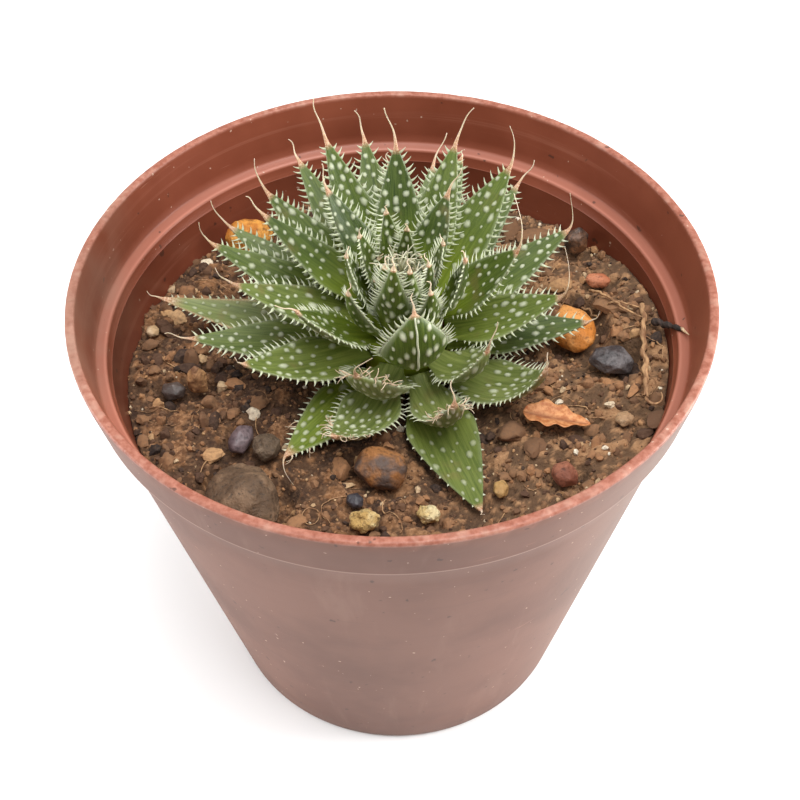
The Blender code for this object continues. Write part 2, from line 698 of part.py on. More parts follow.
class Dimple:
    """The hollow in the soil that a stone lies in: an oval turned about its middle, with a flat floor."""

    def __init__(self, x, y, half_width, half_depth, turn, floor):
        self.x = x
        self.y = y
        self.half_width = half_width
        self.half_depth = half_depth
        self.turn = turn
        self.floor = floor

    def holds(self, x, y, margin):
        across, back = turned(x - self.x, y - self.y, -self.turn)
        return (across / (self.half_width + margin)) ** 2 + (back / (self.half_depth + margin)) ** 2 < 1

    def ring(self, grow, out, floor):
        """Places on an oval of this share of the hollow's size, widened by a slope."""
        corners = 12 if self.half_width > LARGE_DIMPLE else 8
        places = []
        for step in range(corners):
            around = 2 * math.pi * (step + 0.5) / corners
            local_x = (self.half_width * grow + out) * math.cos(around)
            local_y = (self.half_depth * grow + out) * math.sin(around)
            across, back = turned(local_x, local_y, self.turn)
            places.append((self.x + across, self.y + back, floor))
        return places

    def places(self):
        """The soil's points here, as (x, y, floor's height), or no height at the brim."""
        floor_places = self.ring(0.5, 0.0, self.floor) + self.ring(1.0, 0.0, self.floor)
        return floor_places + self.ring(1.0, DIMPLE_SLOPE, None)


def ground(x, y):
    """The soil's height: level at the left and back, banked up to the pot's ledge at the right."""
    fade = smoothstep((abs(y - BANK_MIDDLE) - BANK_HALF_LENGTH) / BANK_FADE_LENGTH)
    bank = BANK_HEIGHT * smoothstep((x - BANK_START) / BANK_WIDTH) * (1.0 - BANK_FADE * fade)
    lumps = LUMP_HEIGHT * noise.noise(Vector((x / LUMP_SIZE, y / LUMP_SIZE, LUMP_SLICE)))
    crumbs = CRUMB_HEIGHT * noise.noise(Vector((x / CRUMB_SIZE, y / CRUMB_SIZE, CRUMB_SLICE)))
    return SOIL_LEVEL + bank + lumps + crumbs


def lying_level(x, y, reach):
    """The lowest soil around a place, so that what lies there keeps off the crumbs."""
    levels = [ground(x, y)]
    for quarter in range(4):
        across, back = turned(reach, 0.0, quarter * math.pi / 2)
        levels.append(ground(x + across, y + back))
    return min(levels)


def make_stones():
    """The stones, and the dimples that they lie in."""
    dimples = []
    for number, (name, x, y, width, depth, height, degrees, sunk, facets, colour) in enumerate(STONES):
        turn = math.radians(degrees)
        level = lying_level(x, y, STONE_REACH * max(width, depth)) - sunk
        shape = bmesh.new()
        bmesh.ops.create_icosphere(shape, subdivisions=facets, radius=1.0)
        points = []
        for vert in shape.verts:
            place = vert.co * STONE_BUMP_SCALE + Vector((number * STONE_BUMP_STEP, 0, 0))
            bumped = vert.co.normalized() * (1.0 + STONE_BUMPS * noise.noise(place))
            across, back = turned(bumped.x * width, bumped.y * depth, turn)
            points.append(Vector((x + across, y + back, level + max(bumped.z, STONE_BASE) * height)))
        faces = [tuple(vert.index for vert in face.verts) for face in shape.faces]
        shape.free()
        finish = material(name + "_stone", colour, STONE_ROUGHNESS)
        add_object(name, points, faces, finish, smooth_angle=50)
        floor = min(point.z for point in points) - CLEARANCE
        half_width = width * DIMPLE_ROOM + CLEARANCE
        half_depth = depth * DIMPLE_ROOM + CLEARANCE
        dimples.append(Dimple(x, y, half_width, half_depth, turn, floor))
    return dimples


def make_straw():
    """A dry stalk along its route: a six-sided rod."""
    route = [Vector((x, y, lying_level(x, y, STRAW_REACH) + STRAW_HEIGHT)) for x, y in STRAW_ROUTE]
    points = []
    for index, place in enumerate(route):
        before = route[max(0, index - 1)]
        after = route[min(len(route) - 1, index + 1)]
        along = (after - before).normalized()
        side = along.cross(Vector((0, 0, 1))).normalized()
        up = side.cross(along)
        for step in range(STRAW_SIDES):
            turn = 2 * math.pi * step / STRAW_SIDES
            points.append(place + (side * math.cos(turn) + up * math.sin(turn)) * STRAW_RADIUS)
    faces = turned_faces(len(route), STRAW_SIDES)
    last = (len(route) - 1) * STRAW_SIDES
    faces.append(tuple(range(STRAW_SIDES)))
    faces.append(tuple(last + step for step in range(STRAW_SIDES)))
    return add_object("straw", points, faces, material("straw_dry", *STRAW_FINISH), smooth_angle=50)


def scrap_points():
    """The scrap's upper sheet and then its lower one, three points across at each station."""
    x, y = SCRAP_PLACE
    level = lying_level(x, y, SCRAP_REACH) + SCRAP_HEIGHT
    points = []
    for drop in (0.0, SCRAP_THICKNESS):
        for station in range(SCRAP_STATIONS):
            share = 2 * (station + 0.5) / SCRAP_STATIONS - 1
            half = SCRAP_HALF_WIDTH * math.sqrt(1 - share * share) + SCRAP_END_HALF_WIDTH
            for across in (-1, 0, 1):
                lift = SCRAP_EDGE_RISE * abs(across) + SCRAP_END_RISE * share * share - drop
                place_x, place_y = turned(share * SCRAP_HALF_LENGTH, across * half, SCRAP_TURN)
                points.append((x + place_x, y + place_y, level + lift))
    return points


def make_scrap():
    """A curled scrap of dry leaf: a thin arched blade, pointed at both ends."""
    faces = []
    sheet = SCRAP_STATIONS * 3
    for station in range(SCRAP_STATIONS - 1):
        for across in range(2):
            a = station * 3 + across
            faces.append((a, a + 1, a + 4, a + 3))
            faces.append((a + sheet, a + sheet + 3, a + sheet + 4, a + sheet + 1))
        for edge in (0, 2):
            a = station * 3 + edge
            faces.append((a, a + 3, a + 3 + sheet, a + sheet))
    for end in (0, sheet - 3):
        for across in range(2):
            a = end + across
            faces.append((a, a + 1, a + 1 + sheet, a + sheet))
    finish = material("scrap_dry", *SCRAP_FINISH)
    return add_object("leaf_scrap", scrap_points(), faces, finish, smooth_angle=50)


def underside_tree(objects):
    """What hangs over the soil, lowered by the gap that the soil keeps from it."""
    points = []
    faces = []
    drop = Vector((0.0, 0.0, SOIL_UNDER_PLANTS))
    for obj in objects:
        start = len(points)
        points += [vert.co / METRES_PER_MM - drop for vert in obj.data.vertices]
        faces += [tuple(start + index for index in face.vertices) for face in obj.data.polygons]
    return BVHTree.FromPolygons(points, faces)


def lowest_above(tree, x, y):
    """The lowest point over this place and around it, of what hangs over the soil."""
    lowest = math.inf
    for reach in OVERHANG_REACHES:
        for step in range(8 if reach else 1):
            across, back = turned(reach, 0.0, math.pi * step / 4)
            hit = tree.ray_cast(Vector((x + across, y + back, BELOW_SOIL)), Vector((0, 0, 1)))[0]
            if hit is not None:
                lowest = min(lowest, hit.z)
    return lowest


def dimple_places(dimples, wall):
    """The points of all the dimples, without those that lie in a neighbour's hollow or in the wall."""
    places = []
    for dimple in dimples:
        others = [other for other in dimples if other is not dimple]
        for x, y, floor in dimple.places():
            taken = any(other.holds(x, y, DIMPLE_TO_DIMPLE) for other in others)
            if not taken and math.hypot(x, y) < wall - DIMPLE_TO_WALL:
                places.append((x, y, floor))
        places.append((dimple.x, dimple.y, dimple.floor))
    return places


def scattered_places(dimples, hole_ring, wall, chance):
    """Places between the dimples, the stem's hole and the wall, none too near another."""
    hole_x = sum(point.x for point in hole_ring) / len(hole_ring)
    hole_y = sum(point.y for point in hole_ring) / len(hole_ring)
    hole_reach = STEM_RADIUS + CLEARANCE + SCATTER_TO_HOLE
    places = []
    for _ in range(SCATTER_TRIES):
        radius = (wall - SCATTER_TO_WALL) * math.sqrt(chance.random())
        x, y = turned(radius, 0.0, 2 * math.pi * chance.random())
        near_hole = math.hypot(x - hole_x, y - hole_y) < hole_reach
        near_other = any((x - a) ** 2 + (y - b) ** 2 < SOIL_POINT_SPACING**2 for a, b, _ in places)
        near_dimple = any(dimple.holds(x, y, SCATTER_TO_DIMPLE) for dimple in dimples)
        if not near_hole and not near_other and not near_dimple:
            places.append((x, y, None))
    return places


def brim_points(tree, dimples):
    """The soil's edge along the pot's wall, lowered under plants and inside dimples."""
    brim = []
    for x, y, _ in ring_of(1.0, 0.0, POT_SEGMENTS):
        brim_x = x * BRIM_RADIUS
        brim_y = y * BRIM_RADIUS
        height = min(ground(brim_x, brim_y), lowest_above(tree, brim_x, brim_y))
        for dimple in dimples:
            if dimple.holds(brim_x, brim_y, 2 * DIMPLE_SLOPE):
                height = min(height, dimple.floor)
        radius = wall_inner_radius(height) - CLEARANCE
        brim.append(Vector((x * radius, y * radius, height)))
    return brim


def settle(points, faces, tree, fixed):
    """Lowers the soil's top, little by little, where it still runs into what lies over it."""
    for _ in range(SETTLE_ROUNDS):
        touching = BVHTree.FromPolygons(points, faces).overlap(tree)
        corners = {corner for face, _ in touching for corner in faces[face]} - set(fixed)
        for corner in corners:
            points[corner].z -= SETTLE_STEP


def make_soil(things_above, dimples, chance):
    """One body of soil: a rough top with dimples and a hole for the stem, and sides along the pot's wall."""
    tree = underside_tree(things_above)
    wall = wall_inner_radius(SOIL_LEVEL) - CLEARANCE
    brim = brim_points(tree, dimples)
    hole_top = stem_ring(STEM_RADIUS + HOLE_GAP, -HOLE_TOP_DROP)
    inner = []
    for x, y, floor in dimple_places(dimples, wall) + scattered_places(dimples, hole_top, wall, chance):
        if floor is None:
            floor = min(ground(x, y), lowest_above(tree, x, y))
        inner.append(Vector((x, y, floor)))
    points = brim + hole_top + inner
    hole_indices = list(range(POT_SEGMENTS, POT_SEGMENTS + STEM_SEGMENTS))
    hole_edges = list(zip(hole_indices, hole_indices[1:] + hole_indices[:1]))
    flat = [Vector((point.x, point.y)) for point in points]
    _, _, triangles, origins, _, _ = delaunay_2d_cdt(
        flat, hole_edges, [list(range(POT_SEGMENTS))], FILL_INSIDE, FILL_TOLERANCE
    )
    faces = []
    for triangle in triangles:
        corners = tuple(origins[corner][0] for corner in triangle)
        if not all(corner in hole_indices for corner in corners):
            faces.append(corners)
    settle(points, faces, tree, hole_indices)
    floor = FLOOR_RISE + FLOOR_THICKNESS + CLEARANCE
    bottom = [Vector(point) for point in ring_of(wall_inner_radius(floor) - CLEARANCE, floor, POT_SEGMENTS)]
    hole_bottom = stem_ring(STEM_RADIUS + HOLE_GAP, -HOLE_DEPTH - CLEARANCE)
    for top_start, low_ring in ((0, bottom), (POT_SEGMENTS, hole_bottom)):
        low_start = len(points)
        points += low_ring
        for step in range(len(low_ring)):
            after = (step + 1) % len(low_ring)
            faces.append((top_start + step, top_start + after, low_start + after, low_start + step))
        faces.append(tuple(low_start + step for step in range(len(low_ring))))
    return add_object("soil", points, faces, material("soil_brown", *SOIL_FINISH), smooth_angle=25)


def main():
    chance = random.Random(SEED)
    clear_scene()
    make_pot()
    leaves = make_leaves(chance)
    make_heart(chance)
    dimples = make_stones()
    straw = make_straw()
    scrap = make_scrap()
    make_soil(leaves + [straw, scrap], dimples, chance)


main()
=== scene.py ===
"""The looks of a potted lace aloe: pot, soil, stones, and a rosette of toothed leaves with white spots.

Sizes are in millimetres here, in the frame's own axes, and each mesh is turned into metres as it is made.
"""

import math
import random

import bmesh
import bpy
from mathutils import Matrix, Vector, noise
from mathutils.bvhtree import BVHTree


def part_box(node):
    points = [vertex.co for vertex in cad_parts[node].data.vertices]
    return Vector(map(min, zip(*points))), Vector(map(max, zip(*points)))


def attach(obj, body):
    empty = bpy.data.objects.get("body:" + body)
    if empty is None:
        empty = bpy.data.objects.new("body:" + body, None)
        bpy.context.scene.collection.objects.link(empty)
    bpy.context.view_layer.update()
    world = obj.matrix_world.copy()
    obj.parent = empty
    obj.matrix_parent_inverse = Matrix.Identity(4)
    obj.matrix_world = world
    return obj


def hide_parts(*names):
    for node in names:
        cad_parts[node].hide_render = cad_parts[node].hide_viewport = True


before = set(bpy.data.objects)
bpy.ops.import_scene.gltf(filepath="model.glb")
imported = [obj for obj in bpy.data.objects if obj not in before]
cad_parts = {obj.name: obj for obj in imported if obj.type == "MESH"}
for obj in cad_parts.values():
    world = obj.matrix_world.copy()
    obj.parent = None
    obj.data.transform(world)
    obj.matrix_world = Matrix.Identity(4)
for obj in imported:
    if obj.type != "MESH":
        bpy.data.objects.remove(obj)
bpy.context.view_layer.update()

METRES_PER_MM = 0.001

# Camera, at the photo's viewing angle
CAMERA_LENS = 54.0
CAMERA_SENSOR = 36.0
CAMERA_PLACE = Vector((0.0, -164.72, 257.86))
CAMERA_FORWARD = Vector((0.00508705, 0.66212669, -0.74937465))
CAMERA_RIGHT = Vector((0.9998166, -0.0172038, -0.00841365))
CAMERA_UP = Vector((0.01846299, 0.74919442, 0.66209278))

# Lights: name, place and size in metres, and watts
LIGHTS = [
    ("key", (0.15, -0.1, 0.8), 0.5, 5.2),
    ("top", (-0.3, -0.05, 0.85), 0.6, 1.6),
    ("right", (0.6, 0.0, 0.18), 0.3, 4.5),
    ("left", (-0.6, 0.0, 0.18), 0.3, 2.5),
]
LIGHTS_AIM = Vector((0, 0, 0.08))
BACKDROP_STRENGTH = 0.75
FLOOR_REACH = 3.0
FLOOR_DROP = 0.0003

# Pot
POT_HEIGHT = 106.0
RIM_RADIUS = 60.0
RIM_INNER_RADIUS = 58.2
COLLAR_HEIGHT = 11.3
COLLAR_FOOT_RADIUS = 58.0
BODY_TOP_RADIUS = 56.8
LEDGE_OUTER_RADIUS = 56.6
LEDGE_INNER_RADIUS = 54.6
LEDGE_DROP = 0.7
FOOT_RADIUS = 40.2
FOOT_ROUNDING = 0.8
FOOT_RING_WIDTH = 6.0
FLOOR_RISE = 1.6
FLOOR_THICKNESS = 1.8
WALL_THICKNESS = 1.7
DRAIN_HOLES = 6
DRAIN_RADIUS = 4.0
DRAIN_CIRCLE_RADIUS = 22.0
POT_SEGMENTS = 240

# Stem and rosette
PLANT_LEAN = math.radians(12)
PLANT_FOOT = Vector((2.0, 2.0, 85.5))
PLANT_AXIS = Vector((0.0, -math.sin(PLANT_LEAN), math.cos(PLANT_LEAN)))
PLANT_RIGHT = Vector((1.0, 0.0, 0.0))
PLANT_BACK = PLANT_AXIS.cross(PLANT_RIGHT)
STEM_RADIUS = 8.2
STEM_HEIGHT = 19.0
STEM_FOOT_RADIUS = 7.2
HOLE_DEPTH = 11.0

# Leaves
LEAF_ROOT_THICKNESS = 1.7
LEAF_THICKNESS = 0.24
MARGIN_THICKNESS = 0.7
MARGIN_LIFT = 0.11
WIDEST_AT = 0.4
SLIM_TAPER = 0.5
BROAD_TAPER = 2.2
TIP_HALF_WIDTH = 0.45
ROOT_HALF_WIDTH = 2.6
ROOT_SHARE = 0.3
ROOT_CLEARANCE = 0.45
YOUNG_LEAF_SINK = 1.6
STATIONS = 46
RING_HALF = 10
AWN_STEPS = 20
SPOT_TRIES = 420

# Each leaf: height of its root up the stem, azimuth, length, lean at its root and at its tip, widest width,
# sway to its left, awn length, awn bend to its left, awn bend up. The shape is the one of the solid.
LEAVES = [
    (1.2, 169, 40, -2, 12, 11.0, 0, 3.5, 0, 1),
    (-0.5, -131, 25.5, 5, 13, 11.0, 0, 5, 6, 1.5),
    (-0.6, -71, 32.5, 7, 15, 13.5, 0, 1.5, 0, 0),
    (1.2, 93, 35, -3, 9, 9.0, 0, 3, 0, 1),
    (1.6, 53, 32.5, 6, 24, 9.0, 0, 6, -1, 2),
    (3.8, -174, 32.5, 5, 20, 11.0, 0, 5.5, 0, 1),
    (2.9, -109, 25, -3, 58, 11.6, -3.4, 3, -1, 0),
    (5.0, 148, 32, 6, 19, 9.5, 0, 6, 0, 4),
    (5.0, 79, 28.5, 8, 22, 9.0, 0, 7, -2, 2),
    (3.0, -1, 27.5, 3, 20, 10.0, 0, 3, 1, 1),
    (6.0, -152, 27, 8, 44, 11.0, -1, 3, 0, 1),
    (3.4, -71, 24.5, -13, 97, 10.0, 0.7, 4, 0, 2),
    (2.6, -35, 29.5, -12, 84, 11.5, 1, 3, 1, 1),
    (5.6, 26, 29.5, 11, 30, 10.5, 0, 5, 4, 4),
    (7.4, 69, 28.5, 16, 31, 9.0, 0, 2, 0, 0),
    (7.0, 122, 31.5, 14, 30, 9.5, 0, 5, 0, 1),
    (8.0, 163, 31.5, 15, 30, 10.0, 0, 5, 0, 4),
    (10.0, -178, 26.5, 22, 40, 9.5, 0, 6, 0, 2),
    (7.0, -4, 24.5, 16, 45, 10.5, 0, 7, 4, 7),
    (6.0, -106, 17.5, 12, 86, 13.0, -3.5, 6, 6, 0),
    (10.0, 49, 28.5, 24, 39, 11.0, 0, 7, 3, 3),
    (9.8, 102, 29, 23, 38, 9.5, 0, 6, 1, 2),
    (10.0, 142, 28, 22, 38, 10.0, 0, 7, -1, 3),
    (5.8, -45, 17.5, 4, 90, 10.0, 2, 7, 1, 0),
    (11.0, -147, 21.5, 38, 63, 9.5, -2, 4, -1, -2),
    (12.6, 157, 26, 31, 46, 8.5, 0, 6, 1, 2),
    (12.6, 68, 27, 31, 47, 9.5, 0, 8, -2, 2),
    (12.8, 118, 29, 32, 47, 9.5, 0, 9, 0, 2),
    (11.2, 8, 21, 36, 62, 10.0, 0, 8, 6, 4),
    (9.8, -80, 19, 40, 120, 13.0, 0, 4, 0, 0),
    (15.3, 92, 24.5, 41, 54, 9.5, 0, 8, 2, 2),
    (16.4, 137, 21.5, 46, 58, 7.5, 0, 5.5, -1, 1),
    (16.8, 56, 18, 48, 60, 7.5, 0, 6.5, -1.5, 1),
    (14.0, -9, 18, 56, 92, 7.5, 0, 2.5, 0, 0.5),
]

# How grey, how dark and how limy each leaf is, in the same order; the grey waxy bloom is set higher on the
# front leaves, partly as painted sheen
LEAF_TONES = [
    (0.9, 0.0, 0.2), (0.0, 0.2, 0.7), (0.5, 0.3, 0.4), (0.7, 0.1, 0.1), (0.3, 0.3, 0.1), (0.5, 0.2, 0.1),
    (0.8, 0.1, 0.2), (0.5, 0.2, 0.1), (0.3, 0.4, 0.1), (0.3, 0.5, 0.0), (0.6, 0.0, 0.3), (1.0, 0.0, 0.2),
    (0.9, 0.0, 0.2), (0.3, 0.4, 0.1), (0.2, 0.5, 0.2), (0.3, 0.4, 0.2), (0.3, 0.3, 0.2), (0.6, 0.1, 0.3),
    (0.5, 0.2, 0.4), (1.1, 0.0, 0.3), (0.1, 0.5, 0.5), (0.4, 0.5, 0.1), (0.2, 0.6, 0.3), (1.0, 0.0, 0.3),
    (0.1, 0.6, 0.4), (0.2, 0.6, 0.1), (0.3, 0.4, 0.3), (0.1, 0.6, 0.3), (0.1, 0.6, 0.3), (0.0, 0.6, 0.2),
    (0.0, 1.0, 0.4), (0.0, 1.0, 0.1), (0.1, 0.9, 0.2), (0.1, 0.9, 0.2),
]

# What is drawn on a leaf and, by its number, what is drawn otherwise on the outermost and front ones
TRIM = {
    "tooth_length": 1.6, "tooth_spacing": 1.3, "tooth_white": 1.0, "spot_gap": 1.4, "first_spot": 0.2,
    "stretch": 1.25, "spot_white": 0.95, "keel": 0.0, "dry_edge": 0.0, "dry_tip": 0.04, "pale_margin": 0.4,
    "fringe": 0, "pale_awn": 0.0,
}
SPECIAL = {
    1: {"dry_edge": 0.7, "tooth_length": 0.8, "dry_tip": 0.12, "first_spot": 0.3, "spot_white": 0.5},
    2: {"stretch": 1.4, "dry_tip": 0.1, "tooth_length": 1.0, "fringe": 6, "spot_white": 0.7},
    3: {"tooth_length": 0.5, "tooth_spacing": 3.0, "first_spot": 0.35, "spot_gap": 1.7, "pale_margin": 0.2,
        "spot_white": 0.5},
    7: {"stretch": 1.7, "fringe": 16, "dry_tip": 0.08, "spot_gap": 1.15},
    12: {"stretch": 1.9, "dry_tip": 0.07, "fringe": 26, "pale_margin": 0.6, "spot_gap": 1.1},
    13: {"dry_tip": 0.12, "stretch": 1.7, "spot_gap": 1.2},
    20: {"pale_margin": 0.8, "tooth_spacing": 1.1, "stretch": 1.6, "fringe": 24, "spot_gap": 1.05},
    24: {"stretch": 1.7, "tooth_spacing": 1.1, "spot_gap": 1.15},
    25: {"pale_margin": 0.7, "tooth_spacing": 1.1},
    29: {"stretch": 1.5, "tooth_spacing": 1.1},
    30: {"keel": 0.9, "pale_margin": 0.9, "tooth_spacing": 0.9, "tooth_length": 1.9, "stretch": 1.7},
}
YOUNG_TONES = (0.1, 0.7, 0.4)
YOUNG_TRIM = {
    "tooth_length": 1.9, "tooth_spacing": 0.8, "spot_gap": 1.25, "pale_margin": 0.7, "stretch": 1.5,
    "dry_tip": 0.01, "pale_awn": 0.8,
}
NEST_TONES = (0.4, 0.0, 1.0)
NEST_TRIM = {
    "tooth_length": 1.5, "tooth_spacing": 0.6, "spot_gap": 1.0, "pale_margin": 0.9, "dry_tip": 0.01,
    "pale_awn": 1.0,
}
NEST_LEAVES = 22
NEST_THREADS = 34

# The youngest leaves: height of the root, azimuth, length, lean at the root and at the tip, widest width
HEART_LEAVES = [
    (12.5, -104, 23, 74, 98, 7.5),
    (11.5, -143, 19, 56, 84, 7.5),
    (14.0, -177, 18, 62, 84, 7.0),
    (12.0, -58, 18, 63, 94, 6.6),
    (14.0, -78, 19, 76, 98, 5.5),
    (15.6, -34, 16, 74, 94, 5.0),
    (16.2, 155, 16, 64, 80, 5.5),
    (16.6, 110, 17, 66, 80, 5.5),
    (17.3, 80, 14, 72, 86, 4.4),
    (16.0, 12, 16, 66, 86, 4.8),
    (16.0, -130, 16, 76, 94, 5.0),
]

# Stones: node, slot, main colour, other colour, how many chipped flats, how rough
STONES = [
    ("stone_big_brown", "stone_brown", (88, 66, 46), (118, 92, 68), 0, 1.0),
    ("stone_orange_back", "stone_orange", (178, 104, 28), (214, 150, 66), 5, 0.9),
    ("stone_orange_right", "stone_orange", (196, 120, 44), (218, 150, 80), 9, 0.5),
    ("stone_charcoal", "stone_dark", (58, 53, 54), (104, 98, 98), 8, 0.9),
    ("stone_tan_front", "stone_brown", (156, 104, 58), (86, 70, 62), 7, 0.6),
    ("pebble_dark_oval", "stone_dark", (66, 56, 52), (88, 76, 70), 0, 0.3),
    ("pebble_tan_upright", "stone_pale", (178, 134, 90), (112, 76, 52), 5, 0.8),
    ("pebble_purple", "stone_dark", (80, 66, 70), (112, 96, 98), 2, 0.3),
    ("stone_grey_rough", "stone_brown", (92, 74, 56), (122, 104, 84), 4, 1.4),
    ("lump_yellow_left", "stone_yellow", (186, 150, 88), (222, 196, 142), 0, 2.2),
    ("lump_yellow_right", "stone_yellow", (198, 168, 108), (230, 212, 164), 0, 2.2),
    ("pebble_brown", "stone_brown", (122, 70, 50), (150, 94, 70), 6, 0.6),
    ("pebble_yellow", "stone_yellow", (164, 126, 74), (184, 150, 98), 2, 0.3),
    ("pebble_blue_black", "stone_dark", (54, 51, 56), (82, 78, 84), 4, 0.4),
    ("stone_dark_back", "stone_dark", (56, 48, 44), (134, 94, 66), 6, 0.7),
    ("chip_red", "stone_red", (170, 96, 60), (188, 120, 86), 8, 0.6),
    ("pebble_pale_left", "stone_pale", (184, 152, 112), (204, 176, 140), 3, 0.5),
    ("pebble_disc", "stone_pale", (160, 126, 92), (184, 154, 120), 3, 0.5),
]

# Soil
SOIL_GRID = 250
SOIL_REACH = 52.3
SOIL_WALL_GAP = 0.25
SOIL_TOP = 130.0
SOIL_LEVEL = 83.0
CRUMB_KINDS = 40
DEBRIS_KINDS = 14
CRUMB_REACH = 52.8
FINE_GRAIN = 0.5
LOOSE_FIBRES = 70

# Straw, twig, leaf scrap and roots; the roots are given as radius and places: across, back, raised
STRAW_X_BACK = 50.0
STRAW_X_FRONT = 47.0
STRAW_STEPS = 60
TWIG_FOOT = (51.4, 2.6, 90.6)
TWIG_TOP = (55.3, -4.2, 94.9)
SCRAP_HALF_LENGTH = 6.4
SCRAP_HALF_WIDTH = 3.7
SCRAP_TURN = math.radians(-16)
SCRAP_STATIONS = 40
SCRAP_ACROSS = 6
SCRAP_THICKNESS = 0.16
ROOTS = [
    (0.34, [(40.6, 14.6, 0.1), (45.6, 7.6, 0.6), (50.6, 2.0, 0.3)]),
    (0.26, [(38.6, 13.2, 0.0), (42.0, 9.0, 0.6), (46.2, 8.8, 0.2), (50.2, 6.4, 0.2)]),
    (0.14, [(51.0, -3.0, 0.2), (52.2, -5.0, 0.8), (51.6, -7.4, 0.5), (49.6, -7.0, 0.1)]),
    (0.13, [(35.4, 16.4, 0.0), (36.2, 14.6, 0.5), (34.8, 13.4, 0.7), (35.8, 12.0, 0.2)]),
    (0.15, [(-40.9, 23.6, 0.1), (-37.0, 22.6, 0.8), (-33.0, 19.6, 0.2)]),
    (0.12, [(-36.4, 20.8, 0.2), (-33.6, 16.6, 0.6), (-29.8, 15.6, 0.3)]),
    (0.12, [(36.8, -18.2, 0.4), (40.6, -19.6, 0.2), (44.8, -18.4, 0.1)]),
]

# Small debris: across, back, three half sizes, turn in degrees, how far it is sunk, and its grain colour
DEBRIS = [
    (-43.2, 21.5, 2.3, 1.4, 0.7, 10, 0.1, 0.86), (-40.4, 28.4, 1.3, 1.1, 0.9, 40, 0.2, 0.14),
    (-42.6, 27.0, 1.2, 1.0, 0.8, 80, 0.2, 0.12), (-44.4, 13.2, 2.4, 1.5, 0.8, -30, 0.1, 0.84),
    (-46.9, 14.6, 1.2, 0.9, 0.6, 30, 0.1, 0.8), (-49.1, 5.0, 1.8, 1.4, 1.0, 20, 0.2, 0.42),
    (-47.0, 1.2, 1.6, 1.2, 0.8, -50, 0.2, 0.22), (-47.0, -2.6, 1.5, 1.1, 0.8, 10, 0.2, 0.5),
    (-38.6, 5.6, 2.6, 1.5, 0.8, -15, 0.2, 0.64), (-33.9, -4.0, 1.6, 1.4, 1.2, 20, 0.2, 0.1),
    (-35.2, -1.4, 1.5, 1.2, 1.1, 70, 0.2, 0.12), (-31.2, -5.8, 1.9, 1.5, 0.9, 0, 0.2, 0.62),
    (-26.2, -10.6, 1.9, 1.6, 1.1, 15, 0.2, 0.45), (-34.2, -23.6, 2.4, 1.8, 0.8, 0, 0.1, 0.78),
    (-42.3, 2.2, 2.8, 1.7, 1.6, 40, 0.4, 0.06), (-40.6, -1.6, 2.0, 1.5, 1.3, -10, 0.3, 0.1),
    (-10.2, -26.0, 2.1, 2.5, 1.7, 20, 0.3, 0.62), (-9.4, -29.6, 1.9, 0.7, 0.35, 5, 0.0, 0.88),
    (-17.8, -39.0, 1.8, 1.6, 0.9, 30, 0.2, 0.58), (16.2, -18.4, 2.0, 1.2, 0.9, -30, 0.2, 0.05),
    (18.4, -19.0, 1.2, 1.0, 0.7, 20, 0.2, 0.1), (34.6, 17.4, 2.6, 1.9, 1.0, 10, 0.2, 0.76),
    (50.4, 6.6, 1.7, 1.5, 1.3, 10, 0.2, 0.45), (45.6, -5.6, 2.3, 2.0, 1.7, 30, 0.2, 0.04),
    (47.2, -7.6, 1.4, 1.1, 1.0, 30, 0.2, 0.08), (45.4, -13.6, 1.8, 1.1, 0.8, 60, 0.1, 0.64),
    (48.6, -21.4, 2.8, 1.8, 1.1, 35, 0.2, 0.3), (45.8, -24.0, 2.0, 1.4, 1.0, 10, 0.2, 0.2),
    (34.0, -22.4, 2.1, 1.2, 0.6, -40, 0.1, 0.17), (38.4, -26.6, 0.6, 0.5, 0.4, 0, 0.0, 0.99),
    (40.6, -16.4, 0.9, 0.8, 0.7, 0, 0.0, 0.96), (30.4, 30.2, 1.3, 1.0, 0.7, 0, 0.2, 0.7),
    (22.4, -20.0, 3.2, 2.6, 1.6, 10, 0.5, 0.42), (25.8, -24.2, 2.4, 1.9, 1.2, 50, 0.5, 0.38),
    (31.4, 34.8, 4.0, 3.0, 1.8, 10, 0.6, 0.48), (26.4, 38.4, 3.0, 2.4, 1.4, 70, 0.5, 0.42),
    (38.0, 12.6, 3.0, 2.4, 1.5, 30, 0.5, 0.5), (44.2, 9.4, 3.4, 2.2, 1.4, -20, 0.5, 0.52),
    (20.2, -29.4, 1.3, 1.1, 0.8, 0, 0.2, 0.5), (12.0, -42.6, 1.1, 0.9, 0.7, 0, 0.2, 0.62),
    (14.7, 0.4, 1.6, 0.7, 0.3, 25, 0.0, 1.0),
]


def linear(*srgb):
    """A colour given in the 0 to 255 display scale, as linear light."""
    values = []
    for value in srgb:
        share = value / 255
        values.append(share / 12.92 if share <= 0.04045 else ((share + 0.055) / 1.055) ** 2.4)
    return (*values, 1.0)


def smoothstep(value, low=0.0, high=1.0):
    share = min(1.0, max(0.0, (value - low) / (high - low)))
    return share * share * (3.0 - 2.0 * share)


def circle(count):
    """The cosine and sine of evenly spaced turns."""
    turns = [2 * math.pi * step / count for step in range(count)]
    return [(math.cos(turn), math.sin(turn)) for turn in turns]


def jitter(chance, spread):
    return Vector([chance.gauss(0, spread) for _ in range(3)])


def ripple(x, y, z=0.0):
    return noise.noise(Vector((x, y, z)))


# Meshes


